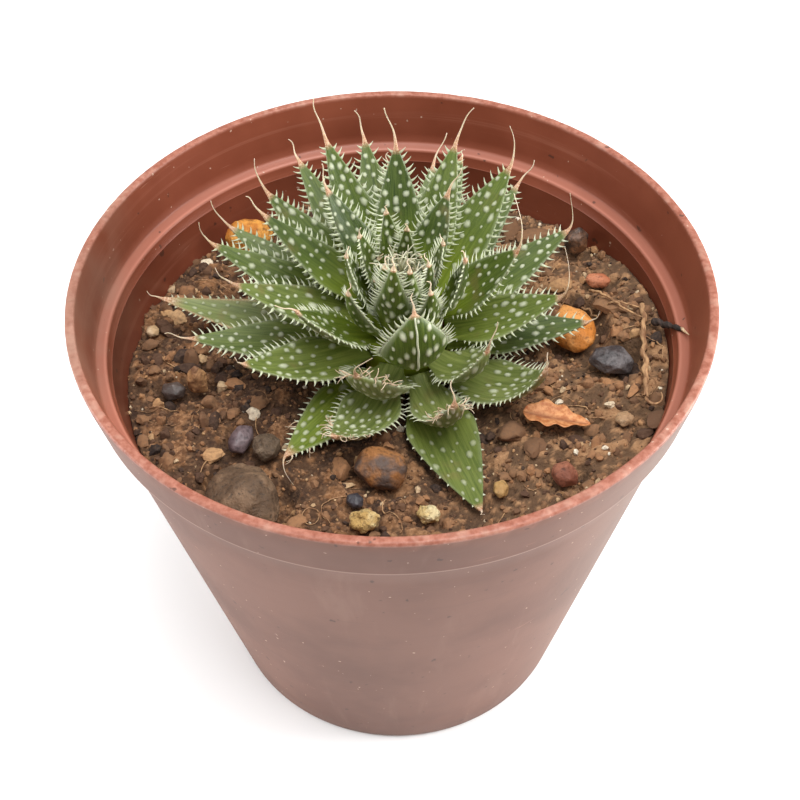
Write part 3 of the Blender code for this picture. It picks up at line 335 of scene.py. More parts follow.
class Patchwork:
    """Points, faces and named numbers at the points, gathered piece by piece into one mesh."""

    def __init__(self, *names):
        self.points = []
        self.faces = []
        self.values = {name: [] for name in names}

    def add(self, point, **values):
        self.points.append(point)
        for name, column in self.values.items():
            column.append(values.get(name, 0.0))
        return len(self.points) - 1

    def ring(self, centre, x_axis, y_axis, count, **values):
        return [self.add(centre + x_axis * x + y_axis * y, **values) for x, y in circle(count)]

    def loft(self, rings):
        """Quads between closed rings of indices."""
        for first, second in zip(rings, rings[1:]):
            for step in range(len(first)):
                after = (step + 1) % len(first)
                self.faces.append((first[step], first[after], second[after], second[step]))

    def sheet(self, rows, turned=False):
        """Quads between open rows of indices."""
        for first, second in zip(rows, rows[1:]):
            for step in range(len(first) - 1):
                quad = (first[step], first[step + 1], second[step + 1], second[step])
                self.faces.append(quad[::-1] if turned else quad)

    def fan(self, ring, centre, turned=False):
        for step in range(len(ring)):
            pair = (ring[step], ring[(step + 1) % len(ring)])
            self.faces.append((*(pair[::-1] if turned else pair), centre))

    def close(self, rings, start, end, **values):
        """Rings joined, and both ends drawn to a point."""
        self.loft(rings)
        self.fan(rings[0], self.add(start, **values), turned=True)
        self.fan(rings[-1], self.add(end, **values))

    def build(self, name, finish, smooth_angle=None):
        mesh = bpy.data.meshes.new(name)
        mesh.from_pydata([point * METRES_PER_MM for point in self.points], [], self.faces)
        for key, column in self.values.items():
            if isinstance(column[0], Vector):
                layer = mesh.attributes.new(key, "FLOAT_VECTOR", "POINT")
                layer.data.foreach_set("vector", [part for vector in column for part in vector])
            else:
                layer = mesh.attributes.new(key, "FLOAT", "POINT")
                layer.data.foreach_set("value", column)
        shape = bmesh.new()
        shape.from_mesh(mesh)
        bmesh.ops.recalc_face_normals(shape, faces=shape.faces)
        shape.to_mesh(mesh)
        shape.free()
        mesh.materials.append(finish)
        mesh.shade_smooth()
        if smooth_angle is not None:
            mesh.set_sharp_from_angle(angle=math.radians(smooth_angle))
        obj = bpy.data.objects.new(name, mesh)
        bpy.context.scene.collection.objects.link(obj)
        return obj


def edge_of(rows):
    """The closed ring of indices round a sheet."""
    last = [row[-1] for row in rows[:-1]]
    return rows[0][:-1] + last + rows[-1][:0:-1] + [row[0] for row in rows[:0:-1]]


def carry(piece, node=None):
    """The piece rides on the root body, and stands in for its solid where it has one."""
    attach(piece, "root")
    if node:
        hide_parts(node)


def tube(work, route, radius_at, sides, **values):
    """A closed tube along a route of points, with its ends drawn to a point."""
    rings = []
    side = (route[1] - route[0]).normalized().orthogonal().normalized()
    for index, place in enumerate(route):
        along = (route[min(len(route) - 1, index + 1)] - route[max(0, index - 1)]).normalized()
        side = (side - along * side.dot(along)).normalized()
        radius = radius_at(index / (len(route) - 1))
        rings.append(work.ring(place, side * radius, along.cross(side) * radius, sides, **values))
    work.close(rings, route[0], route[-1], **values)


def stray(place, way, step, count, bend):
    """The route of a loose thread that starts at a place and bends steadily."""
    route = []
    for _ in range(count):
        route.append(place)
        place = place + way * step
        way = (way + bend).normalized()
    return route


# Materials


class Look:
    """A node material. Colours of three numbers are display values, and ink is the colour laid on so far."""

    def __init__(self, name, roughness=0.5):
        self.material = bpy.data.materials.new(name)
        self.material.use_nodes = True
        self.tree = self.material.node_tree
        self.shader = self.tree.nodes["Principled BSDF"]
        self.ink = None
        self.set("Roughness", roughness)

    def node(self, kind, inputs, **settings):
        made = self.tree.nodes.new(kind)
        for name, value in settings.items():
            setattr(made, name, value)
        for key, value in inputs.items():
            self.link(value, made.inputs[key])
        return made

    def link(self, source, target):
        if hasattr(source, "is_linked"):
            self.tree.links.new(source, target)
        else:
            target.default_value = source

    def set(self, name, value):
        self.link(value, self.shader.inputs[name])

    def attribute(self, name, output="Fac"):
        return self.node("ShaderNodeAttribute", {}, attribute_name=name).outputs[output]

    def place(self):
        return self.node("ShaderNodeTexCoord", {}).outputs["Object"]

    def across(self, place):
        return self.node("ShaderNodeSeparateXYZ", {0: place}).outputs[0]

    def noise(self, place, scale, detail=3.0, rough=0.5, distortion=0.0):
        inputs = {
            "Vector": place, "Scale": scale, "Detail": detail, "Roughness": rough, "Distortion": distortion,
        }
        return self.node("ShaderNodeTexNoise", inputs).outputs["Fac"]

    def strokes(self, place, scales, detail, rough, distortion=0.0):
        """Noise with a scale of its own along each axis."""
        drawn = self.node("ShaderNodeVectorMath", {0: place, 1: scales}, operation="MULTIPLY").outputs[0]
        return self.noise(drawn, 1.0, detail, rough, distortion)

    def cells(self, place, scale):
        return self.node("ShaderNodeTexVoronoi", {"Vector": place, "Scale": scale}).outputs["Distance"]

    def math(self, operation, a, b):
        return self.node("ShaderNodeMath", {0: a, 1: b}, operation=operation).outputs[0]

    def times(self, a, b):
        return self.math("MULTIPLY", a, b)

    def range(self, value, low, high, to_low=0.0, to_high=1.0):
        inputs = {"Value": value, "From Min": low, "From Max": high, "To Min": to_low, "To Max": to_high}
        return self.node("ShaderNodeMapRange", inputs, interpolation_type="SMOOTHSTEP").outputs["Result"]

    def mix(self, factor, a, b):
        a, b = (linear(*tone) if isinstance(tone, tuple) and len(tone) == 3 else tone for tone in (a, b))
        return self.node("ShaderNodeMix", {"Factor": factor, 6: a, 7: b}, data_type="RGBA").outputs[2]

    def paint(self, factor, colour):
        self.ink = self.mix(factor, self.ink, colour)

    def bump(self, height, depth_mm, strength):
        normal = self.shader.inputs["Normal"]
        inputs = {"Strength": strength, "Distance": depth_mm * METRES_PER_MM, "Height": height}
        if normal.is_linked:
            inputs["Normal"] = normal.links[0].from_socket
        self.link(self.node("ShaderNodeBump", inputs).outputs["Normal"], normal)

    def done(self):
        self.set("Base Color", self.ink)
        return self.material


def leaf_look():
    """Green, limy or grey flesh with fine streaks along the leaf, white spots and teeth, and a dry awn."""
    look = Look("leaf_flesh")
    at = look.attribute("leaf_place", "Vector")
    along = look.attribute("along")
    streaks = look.range(look.strokes(at, (1.9, 0.1, 1.0), 3.0, 0.6), 0.3, 0.7)
    lines = look.range(look.strokes(at, (7.0, 0.22, 1.0), 2.0, 0.5), 0.42, 0.66)
    patches = look.noise(at, 0.16, 3.0, 0.55)
    grain = look.noise(at, 3.0, 4.0, 0.65)
    limy = look.mix(streaks, (112, 132, 26), (142, 156, 46))
    toward_root = look.range(look.math("ADD", along, look.times(patches, 0.35)), 0.78, 0.28)
    far_out = look.range(along, 0.15, 0.6, 0.0, 0.8)
    look.ink = look.mix(streaks, (50, 72, 19), (80, 99, 32))
    look.paint(look.times(toward_root, 0.9), limy)
    look.paint(look.times(look.attribute("limy"), 0.7), limy)
    # Grey waxy bloom; set higher on the front leaves, it is partly painted sheen.
    look.paint(look.times(look.attribute("grey"), 0.75), look.mix(streaks, (98, 108, 60), (134, 141, 88)))
    look.paint(look.times(look.attribute("dark"), far_out), look.mix(streaks, (30, 48, 16), (50, 68, 24)))
    look.paint(look.times(lines, 0.12), (134, 148, 66))
    look.paint(look.range(grain, 0.55, 0.75, 0.0, 0.28), (130, 142, 76))
    look.paint(look.range(patches, 0.58, 0.75, 0.0, 0.35), (128, 104, 66))
    look.paint(look.attribute("white"), (198, 203, 174))
    withered = look.mix(look.range(grain, 0.35, 0.65), (158, 104, 70), (206, 176, 146))
    look.paint(look.attribute("dry"), withered)
    look.paint(look.attribute("straw"), look.mix(grain, (196, 168, 134), (222, 208, 184)))
    look.set("Roughness", look.range(grain, 0.3, 0.7, 0.34, 0.52))
    look.set("Specular IOR Level", 0.35)
    look.set("Subsurface Weight", 0.12)
    look.set("Subsurface Radius", (0.8, 1.0, 0.4))
    look.set("Subsurface Scale", 0.0012)
    look.bump(look.strokes(at, (1.6, 0.25, 1.0), 3.0, 0.5), 0.2, 0.5)
    look.bump(lines, 0.04, 0.4)
    look.bump(grain, 0.08, 0.6)
    return look.done()


def soil_look():
    """Brown earth with pale and dark grit, drier towards the right, with painted shade darkening its hollows
    and its hidden body.
    """
    look = Look("soil_crumbly", 0.95)
    place = look.place()
    clods = look.noise(place, 120.0, 4.0, 0.6)
    grit = look.noise(place, 900.0, 4.0, 0.65)
    dryness = look.math("ADD", look.across(place), look.times(clods, 0.04))
    look.ink = look.mix(look.range(clods, 0.3, 0.7), (82, 51, 30), (138, 96, 60))
    look.paint(look.range(grit, 0.42, 0.72), (168, 126, 90))
    look.paint(look.range(grit, 0.42, 0.24, 0.0, 0.8), (44, 27, 18))
    look.paint(look.range(dryness, 0.012, 0.05, 0.0, 0.85), look.mix(grit, (130, 92, 60), (190, 148, 108)))
    # Painted shade: the soil's low places and its hidden body are darkened.
    look.paint(look.range(look.attribute("hollow"), 0.0, 1.0, 0.0, 0.7), (34, 21, 14))
    look.bump(look.noise(place, 420.0, 4.0, 0.6), 0.9, 0.7)
    look.bump(grit, 0.6, 0.9)
    look.bump(look.noise(place, 2600.0, 3.0, 0.6), 0.25, 0.8)
    return look.done()


def crumb_look():
    """Grains whose colour goes from dark earth over red and tan to pale grit by their own number."""
    look = Look("soil_grains", 0.9)
    ramp = look.node("ShaderNodeValToRGB", {"Fac": look.attribute("grain")})
    elements = ramp.color_ramp.elements
    elements[0].color = linear(40, 30, 26)
    elements[1].color = linear(232, 222, 200)
    for position, tone in (
            (0.25, (84, 56, 38)), (0.5, (132, 96, 66)), (0.66, (160, 114, 76)), (0.82, (184, 144, 100)),
            (0.94, (202, 176, 140))):
        made = elements.new(position)
        made.color = linear(*tone)
    speckle = look.noise(look.place(), 1600.0, 3.0, 0.6)
    look.ink = ramp.outputs["Color"]
    look.paint(look.range(speckle, 0.4, 0.7, 0.0, 0.45), (96, 72, 54))
    look.bump(speckle, 0.25, 0.7)
    return look.done()


def stone_look(name, main, other, gloss, rough):
    look = Look(name + "_stone", gloss)
    place = look.place()
    patches = look.noise(place, 190.0, 4.0, 0.55, 0.4)
    grit = look.noise(place, 1100.0, 4.0, 0.65)
    dark = tuple(value * 0.55 for value in main)
    pale = tuple(min(240, value * 1.25) for value in other)
    look.ink = look.mix(look.range(patches, 0.42, 0.6), main, other)
    look.paint(look.range(grit, 0.5, 0.3, 0.0, 0.7), dark)
    look.paint(look.times(look.range(look.cells(place, 1500.0), 0.22, 0.1), 0.6), dark)
    look.paint(look.range(grit, 0.6, 0.78, 0.0, 0.4), pale)
    look.bump(patches, 0.6, 0.5)
    look.bump(grit, 0.15 + 0.45 * rough, 0.8)
    look.bump(look.noise(place, 480.0, 3.0, 0.6), 0.8 * rough, 0.6)
    return look.done()


def dry_look(name, pale, deep):
    """Streaked dry stalk or wood."""
    look = Look(name, 0.8)
    place = look.place()
    streaks = look.strokes(place, (1400.0, 220.0, 1400.0), 4.0, 0.6)
    patches = look.noise(place, 240.0, 3.0, 0.6)
    look.ink = look.mix(look.range(streaks, 0.35, 0.7), deep, pale)
    look.paint(look.range(patches, 0.5, 0.8, 0.0, 0.6), tuple(value * 0.7 for value in deep))
    look.bump(streaks, 0.2, 0.8)
    return look.done()


def scrap_look():
    """An orange dry leaf with veins, darker along its fold."""
    look = Look("scrap_dry", 0.6)
    place = look.place()
    veins = look.strokes(place, (900.0, 900.0, 300.0), 4.0, 0.6)
    look.ink = look.mix(look.range(veins, 0.35, 0.65), (176, 106, 58), (214, 152, 100))
    look.paint(look.range(look.noise(place, 300.0, 3.0, 0.6), 0.5, 0.7, 0.0, 0.4), (150, 84, 48))
    look.paint(look.times(look.attribute("fold"), 0.7), (112, 60, 38))
    look.bump(veins, 0.15, 0.7)
    return look.done()


def pot_look():
    """Brick-coloured plastic: clean inside, paler on the rim, faded and dusty outside, with painted
    highlights on the ledge band and the collar's foot and painted sheen down the outside's right side.
    """
    look = Look("pot_plastic")
    place = look.place()
    across = look.across(place)
    outside = look.attribute("outside")
    clouds = look.noise(place, 26.0, 4.0, 0.6)
    speckle = look.noise(place, 900.0, 3.0, 0.6)
    upright = look.strokes(place, (160.0, 160.0, 14.0), 4.0, 0.6, 0.3)
    around = look.strokes(place, (12.0, 12.0, 420.0), 4.0, 0.6, 0.6)
    scratches = look.strokes(place, (30.0, 30.0, 900.0), 3.0, 0.7, 1.5)
    chips = look.range(look.noise(place, 260.0, 2.0, 0.6), 0.5, 0.72)
    specks = look.range(look.noise(place, 900.0, 1.0, 0.4), 0.77, 0.8)
    dirt = look.range(look.noise(place, 380.0, 2.0, 0.5), 0.29, 0.25)
    look.ink = look.mix(look.range(clouds, 0.35, 0.65), (101, 67, 54), (117, 81, 67))
    look.paint(look.range(upright, 0.55, 0.75, 0.0, 0.18), (146, 116, 102))
    look.paint(look.range(around, 0.6, 0.74, 0.0, 0.3), (96, 68, 58))
    dusty = look.ink
    look.ink = look.mix(look.range(speckle, 0.3, 0.7), (136, 78, 60), (164, 108, 90))
    look.paint(look.times(chips, 0.5), (186, 146, 128))
    worn = look.ink
    look.ink = look.mix(look.range(clouds, 0.3, 0.7), (117, 59, 40), (138, 75, 54))
    look.paint(look.range(around, 0.58, 0.72, 0.0, 0.3), (160, 104, 84))
    look.paint(outside, dusty)
    # Painted highlight: the pale ledge band inside, and the thin bright lines at the collar's foot and on
    # the wall's groove.
    look.paint(look.attribute("ledge"), look.mix(outside, (182, 118, 98), (186, 158, 142)))
    look.paint(look.attribute("worn"), worn)
    look.paint(look.range(scratches, 0.68, 0.74, 0.0, 0.4), (176, 128, 108))
    look.paint(look.times(specks, 0.6), (206, 180, 160))
    look.paint(look.times(dirt, 0.7), (62, 42, 34))
    stained = look.times(look.range(across, -0.050, -0.057), look.range(clouds, 0.35, 0.6))
    stained = look.times(stained, look.math("SUBTRACT", 1.0, outside))
    look.paint(look.times(stained, 0.5), (140, 112, 96))
    # Painted sheen: the outside is made paler towards its right edge.
    look.paint(look.times(look.times(look.range(across, 0.02, 0.05), outside), 0.35), (136, 124, 114))
    look.set("Roughness", look.range(outside, 0.0, 1.0, 0.4, 0.55))
    look.set("Specular IOR Level", 0.3)
    look.bump(upright, 0.08, 0.3)
    look.bump(around, 0.05, 0.3)
    look.bump(look.noise(place, 3200.0, 2.0, 0.6), 0.04, 0.4)
    look.bump(look.times(speckle, look.attribute("worn")), 0.25, 0.6)
    return look.done()


def floor_look():
    look = Look("floor_pale", 0.7)
    clouds = look.noise(look.place(), 3.0, 2.0, 0.4)
    look.ink = look.mix(clouds, (0.93, 0.93, 0.93, 1.0), (0.95, 0.95, 0.95, 1.0))
    return look.done()


# Pot


def wall_inner_radius(height):
    floor = FLOOR_RISE + FLOOR_THICKNESS
    top = POT_HEIGHT - COLLAR_HEIGHT - LEDGE_DROP
    share = (height - floor) / (top - floor)
    bottom_radius = FOOT_RADIUS - WALL_THICKNESS
    return bottom_radius + share * (LEDGE_INNER_RADIUS - bottom_radius)


def run(steps, radius, height, end_radius, end_height, outside):
    """Even rows of the pot's outline between two places, which are not among them."""
    rows = []
    for step in range(1, steps):
        share = step / steps
        place = (radius + share * (end_radius - radius), height + share * (end_height - height))
        rows.append((*place, outside, 0, 0))
    return rows


def beside(radius, height, *rows):
    """Rows of the pot's outline given by their offsets from one radius and height."""
    return [(radius + out, height + up, *rest) for out, up, *rest in rows]


def pot_profile():
    """Radius, height, and how outside, how worn and how much painted highlight (the ledge value) each place
    is given, from the underside on.
    """
    collar = POT_HEIGHT - COLLAR_HEIGHT
    floor_top = FLOOR_RISE + FLOOR_THICKNESS
    rows = beside(
        FOOT_RADIUS, 0.0, (-FOOT_RING_WIDTH - FLOOR_RISE, FLOOR_RISE, 0.6, 0, 0),
        (-FOOT_RING_WIDTH, 0, 0.6, 0, 0), (-FOOT_ROUNDING, 0, 1, 0, 0), (-0.3, 0.25, 1, 0, 0),
        (0, FOOT_ROUNDING, 1, 0, 0))
    rows += run(14, FOOT_RADIUS, FOOT_ROUNDING, BODY_TOP_RADIUS, collar - 0.4, 1)
    rows += beside(BODY_TOP_RADIUS, collar, (0, -0.4, 1, 0, 0), (0.25, -0.1, 1, 0, 0))
    # The last value of these rows is painted highlight: a thin bright line at the collar's foot.
    rows += beside(
        COLLAR_FOOT_RADIUS, collar, (-0.2, 0, 1, 0, 0), (0.1, 0.1, 1, 0, 0.8), (0.3, 0.35, 1, 0, 0.5),
        (0.36, 0.8, 1, 0, 0))
    rows += run(6, COLLAR_FOOT_RADIUS + 0.36, collar + 0.8, RIM_RADIUS, POT_HEIGHT - 1.2, 1)
    rows += beside(
        RIM_RADIUS, POT_HEIGHT, (-0.05, -0.9, 0.9, 0.1, 0), (0, -0.5, 0.5, 0.9, 0), (-0.08, -0.2, 0.2, 1, 0),
        (-0.3, -0.03, 0, 1, 0), (-0.6, 0, 0, 1, 0), (-0.9, 0, 0, 1, 0))
    rows += beside(
        RIM_INNER_RADIUS, POT_HEIGHT, (0.5, -0.02, 0, 1, 0), (0.2, -0.14, 0, 0.9, 0), (0, -0.45, 0, 0.4, 0),
        (-0.05, -0.9, 0, 0, 0))
    rows += run(6, RIM_INNER_RADIUS - 0.05, POT_HEIGHT - 0.9, LEDGE_OUTER_RADIUS + 0.05, collar + 0.5, 0)
    # The last values here and in the groove rows below are painted highlight: a pale band with bright lines
    # at its edges.
    rows += beside(
        LEDGE_OUTER_RADIUS, collar, (0, 0.35, 0, 0, 0.1), (-0.2, 0.02, 0, 0, 0.3), (-0.5, -0.15, 0, 0, 0.35))
    rows += beside(
        LEDGE_INNER_RADIUS, collar - LEDGE_DROP, (0.7, 0.22, 0, 0, 0.4), (0.3, 0.06, 0, 0, 0.8),
        (0.05, -0.12, 0, 0, 0.5))
    for level, down, sunk, line in (
            (1.2, 1.2, 0, 0), (3.1, 3.1, 0, 0), (3.2, 3.25, 0.12, 0.15), (3.4, 3.5, 0, 0)):
        rows.append((wall_inner_radius(collar - level) - sunk, collar - down, 0, 0, line))
    end = (wall_inner_radius(floor_top), floor_top)
    rows += run(8, wall_inner_radius(collar - 3.6), collar - 3.6, *end, 0)
    return rows + [(*end, 0, 0, 0)]


def make_pot():
    work = Patchwork("outside", "worn", "ledge")
    rings = []
    for radius, height, outside, worn, ledge in pot_profile():
        ring = []
        for x, y in circle(POT_SEGMENTS):
            out = Vector((x, y, 0.0))
            dent = 0.1 * worn * abs(noise.noise(out * 42.0 + Vector((0, 0, height)))) if worn else 0.0
            wear = worn + 0.5 * noise.noise(out * 30.0) if outside and 0 < worn < 1 else worn
            point = out * (radius - dent) + Vector((0, 0, height - dent * 0.6))
            ring.append(work.add(point, outside=outside, worn=max(0.0, wear), ledge=ledge))
        rings.append(ring)
    work.loft(rings)
    work.fan(rings[0], work.add(Vector((0, 0, FLOOR_RISE)), outside=0.6), turned=True)
    work.fan(rings[-1], work.add(Vector((0, 0, FLOOR_RISE + FLOOR_THICKNESS))))
    pot = work.build("pot_shell", pot_look(), 50)
    cut_drain_holes(pot)
    carry(pot, "pot")


def cut_drain_holes(pot):
    bores = bmesh.new()
    for hole in range(DRAIN_HOLES):
        turn = 2 * math.pi * hole / DRAIN_HOLES
        place = Vector((math.cos(turn), math.sin(turn), 0)) * DRAIN_CIRCLE_RADIUS
        place.z = FLOOR_RISE + FLOOR_THICKNESS / 2
        spot = Matrix.Translation(place * METRES_PER_MM)
        bmesh.ops.create_cone(
            bores, cap_ends=True, segments=32, radius1=DRAIN_RADIUS * METRES_PER_MM,
            radius2=DRAIN_RADIUS * METRES_PER_MM, depth=5 * METRES_PER_MM, matrix=spot,
        )
    mesh = bpy.data.meshes.new("drain_bores")
    bores.to_mesh(mesh)
    bores.free()
    cutter = bpy.data.objects.new("drain_bores", mesh)
    bpy.context.scene.collection.objects.link(cutter)
    cut = pot.modifiers.new("drain_holes", "BOOLEAN")
    cut.operation = "DIFFERENCE"
    cut.object = cutter
    graph = bpy.context.evaluated_depsgraph_get()
    made = bpy.data.meshes.new_from_object(pot.evaluated_get(graph))
    pot.modifiers.clear()
    pot.data = made
    bpy.data.objects.remove(cutter)


# Leaves


def stem_radius_at(height):
    share = min(1.0, max(0.0, height / STEM_HEIGHT))
    return STEM_RADIUS * math.sqrt(1.0 - share**2)


class Leaf:
    """One leaf: its solid's shape (arched midline, width, thickness and dish), its tones and its trim."""

    def __init__(self, number, tones, trim, height, azimuth, length, root_lean, tip_lean, width, sway=0.0):
        self.number = number
        self.tones = dict(zip(("grey", "dark", "limy"), tones))
        for name, value in {**TRIM, **trim}.items():
            setattr(self, name, value)
        turn = math.radians(azimuth)
        self.out = PLANT_RIGHT * math.cos(turn) + PLANT_BACK * math.sin(turn)
        self.left = PLANT_AXIS.cross(self.out)
        self.length = length
        self.root_lean = math.radians(root_lean)
        self.curl = math.radians(tip_lean - root_lean) / length
        self.sway = sway
        self.half = width / 2
        self.fullness = SLIM_TAPER + BROAD_TAPER * width / length
        self.root_distance = self.distance_off_stem(height)
        self.root = PLANT_FOOT + PLANT_AXIS * height + self.out * self.root_distance

    def distance_off_stem(self, height):
        distance = stem_radius_at(height)
        low_height = height - LEAF_ROOT_THICKNESS * math.cos(self.root_lean)
        low_distance = LEAF_ROOT_THICKNESS * math.sin(self.root_lean)
        for sunk_height, outwards in ((height + 0.5 * MARGIN_THICKNESS, 0.0), (low_height, low_distance)):
            distance = max(distance, stem_radius_at(sunk_height) - outwards)
        return distance + ROOT_CLEARANCE

    def angle(self, along):
        return self.root_lean + self.curl * along

    def midline(self, along):
        first = self.root_lean
        last = self.angle(along)
        out = (math.sin(last) - math.sin(first)) / self.curl
        up = (math.cos(first) - math.cos(last)) / self.curl
        aside = self.sway * (along / self.length) ** 2
        return self.root + self.out * out + PLANT_AXIS * up + self.left * aside

    def up(self, along):
        angle = self.angle(along)
        return PLANT_AXIS * math.cos(angle) - self.out * math.sin(angle)

    def forward(self, along):
        angle = self.angle(along)
        straight = self.out * math.cos(angle) + PLANT_AXIS * math.sin(angle)
        return (straight + self.left * (2 * self.sway * along / self.length**2)).normalized()

    def side(self, along):
        return self.up(along).cross(self.forward(along))

    def half_width(self, along):
        share = along / self.length
        root = min(ROOT_HALF_WIDTH, ROOT_SHARE * self.root_distance)
        if share < WIDEST_AT:
            return root + (self.half - root) * smoothstep(share / WIDEST_AT)
        taper = ((share - WIDEST_AT) / (1 - WIDEST_AT)) ** self.fullness
        return TIP_HALF_WIDTH + (self.half - TIP_HALF_WIDTH) * (1 - taper)

    def thickness(self, along):
        share = along / self.length
        full = LEAF_THICKNESS * 2 * self.half
        root = min(LEAF_ROOT_THICKNESS, full)
        if share < WIDEST_AT:
            return root + (full - root) * smoothstep(share / WIDEST_AT)
        taper = (share - WIDEST_AT) / (1 - WIDEST_AT)
        return MARGIN_THICKNESS + (full - MARGIN_THICKNESS) * (1 - taper)

    def lift(self, along):
        return MARGIN_LIFT * 2 * self.half_width(along) * smoothstep(along / self.length / WIDEST_AT)

    def level(self, along, across_share, under):
        """How high the skin stands over the midline; both sides meet in a rounded margin."""
        share = min(1.0, abs(across_share))
        rounding = 0.5 * MARGIN_THICKNESS * (1.0 - math.sqrt(max(0.0, 1.0 - share**8)))
        level = self.lift(along) * share**2
        if under:
            body = MARGIN_THICKNESS * share**2 + self.thickness(along) * (1 - share**2)
            return level - body + rounding
        return level - rounding

    def point(self, along, across, under=False, raised=0.0):
        share = across / self.half_width(along)
        level = self.level(along, share, under) + (-raised if under else raised)
        return self.midline(along) + self.side(along) * across + self.up(along) * level

    def margin(self, along, sign):
        return self.midline(along) + self.side(along) * (sign * self.half_width(along))

    def values(self, along, across, white=0.0, dry=0.0):
        share = along / self.length
        dry = max(dry, smoothstep(share, 1.0 - self.dry_tip, 1.0))
        place = Vector((across, along, 17.0 * self.number))
        return {"leaf_place": place, "along": share, "white": white, "dry": dry, **self.tones}


def add_blade(work, leaf):
    """The leaf's flesh as rings from its root to its tip."""
    rings = []
    for station in range(STATIONS + 1):
        share = station / STATIONS
        along = leaf.length * share
        half = leaf.half_width(along)
        ring = []
        for step, (across_share, _) in enumerate(circle(2 * RING_HALF)):
            across = half * across_share
            wave = 0.12 * ripple(across / 2.6, along / 4.0, leaf.number * 3.1)
            wave *= smoothstep(share, 0.0, 0.2) * (1 - abs(across_share))
            point = leaf.point(along, across, step > RING_HALF, wave)
            white = leaf.pale_margin * abs(across_share) ** 24 * smoothstep(share, 0.1, 0.35)
            dry = leaf.dry_edge * smoothstep(abs(across_share), 0.75, 1.0) * smoothstep(share, 0.35, 0.7)
            ring.append(work.add(point, **leaf.values(along, across, white, dry)))
        rings.append(ring)
    work.loft(rings)
    work.fan(rings[0], work.add(leaf.midline(0.0), **leaf.values(0.0, 0.0)), turned=True)
    return rings[-1]


def add_awn(work, leaf, ring, length, bend_left, bend_up, chance):
    """The dry thread that runs on from the tip, thin and pale, and curls at its end."""
    start = leaf.midline(leaf.length) + leaf.up(leaf.length) * leaf.level(leaf.length, 1.0, False)
    forward = leaf.forward(leaf.length)
    side = leaf.side(leaf.length)
    up = leaf.up(leaf.length)
    curl = chance.uniform(0.3, 0.7) * chance.choice((-1, 1))
    values = leaf.values(leaf.length, 0.0, 0.0, 1.0)
    rings = [ring]
    for step in range(1, AWN_STEPS + 1):
        share = step / AWN_STEPS
        centre = start + forward * (length * share) + (side * bend_left + up * bend_up) * share**2
        centre += side * (curl * share**2 * math.sin(share * 6.5))
        centre += up * (0.4 * abs(curl) * share**3 * math.cos(share * 7.0))
        radius = 0.1 + 0.32 * (1.0 - share) ** 4 + 0.05 * (1.0 - share)
        values["straw"] = max(leaf.pale_awn, smoothstep(share, 0.1, 0.45))
        made = []
        for x, y in circle(2 * RING_HALF):
            values["leaf_place"] = Vector((x, leaf.length + length * share, 17.0 * leaf.number))
            made.append(work.add(centre + side * (x * radius) + up * (y * radius * 0.8), **values))
        rings.append(made)
    work.loft(rings)
    end = sum((work.points[index] for index in rings[-1]), Vector()) / len(rings[-1])
    values = {**leaf.values(leaf.length, 0.0, 0.0, 1.0), "straw": 1.0}
    work.fan(rings[-1], work.add(end + forward * 0.1, **values))


def add_keel(work, leaf):
    """The thin raised white line down the middle of a leaf's back."""
    route = []
    for step in range(25):
        along = leaf.length * (0.22 + 0.76 * step / 24)
        route.append(leaf.point(along, 0.05 * math.sin(along * 1.7), True, 0.02))
    tube(work, route, lambda share: 0.26 - 0.1 * share, 6, **leaf.values(0.5 * leaf.length, 0.0, leaf.keel))


def add_fringe(work, leaf, chance):
    """Loose dry shreds of the withered margin near the tip."""
    for _ in range(leaf.fringe):
        along = leaf.length * chance.uniform(0.72, 0.99)
        sign = chance.choice((-1, 1))
        across = sign * leaf.half_width(along)
        way = leaf.side(along) * sign * chance.uniform(0.4, 1.0)
        way += leaf.forward(along) * chance.uniform(0.2, 1.0)
        way = (way + leaf.up(along) * chance.uniform(-0.5, 0.5)).normalized()
        route = stray(leaf.point(along, across), way, 0.36, 8, jitter(chance, 0.22))
        values = {**leaf.values(along, across, 0.0, 0.8), "straw": chance.uniform(0.4, 1.0)}
        tube(work, route, lambda share: 0.13 - 0.07 * share, 5, **values)


def add_tooth(work, root, out, along_edge, length, half_base, values):
    """A slender thorn from a triangular base, bent towards the leaf's tip."""
    rings = []
    bright = values["white"]
    up = out.cross(along_edge)
    for share in (-0.18, 0.08, 0.35, 0.65, 0.9):
        centre = root + out * (length * share) + along_edge * (0.42 * length * max(0.0, share) ** 1.6)
        wide = half_base * (1.0 - max(0.0, share)) ** 1.25 + 0.035
        values["white"] = bright * (0.6 + 0.4 * smoothstep(share, -0.1, 0.35))
        rings.append(work.ring(centre, along_edge * wide, up * (wide * 0.55), 6, **values))
    work.loft(rings)
    apex = root + out * length + along_edge * (0.42 * length)
    values["white"] = bright
    work.fan(rings[-1], work.add(apex, **values))
    values["white"] = 0.4 * bright
    work.fan(rings[0], work.add(root - out * (0.2 * length), **values), turned=True)


def add_teeth(work, leaf, chance):
    for sign in (1, -1):
        along = 0.1 * leaf.length + chance.uniform(0, 0.6)
        while along < leaf.length * 0.985:
            share = along / leaf.length
            across = sign * leaf.half_width(along)
            edge = leaf.margin(min(leaf.length, along + 0.5), sign) - leaf.margin(along, sign)
            edge.normalize()
            out = (leaf.side(along) * sign + leaf.up(along) * chance.uniform(-0.1, 0.35)).normalized()
            out = (out - edge * out.dot(edge)).normalized()
            grown = smoothstep(share, 0.05, 0.4) * (1.0 - 0.35 * smoothstep(share, 0.8, 1.0))
            length = leaf.tooth_length * (0.3 + 0.7 * grown) * chance.uniform(0.75, 1.2)
            values = leaf.values(along, across, leaf.tooth_white)
            values["dry"] *= 0.3
            half_base = 0.27 * chance.uniform(0.8, 1.2)
            add_tooth(work, leaf.point(along, across), out, edge, length, half_base, values)
            along += leaf.tooth_spacing * chance.uniform(0.7, 1.3)


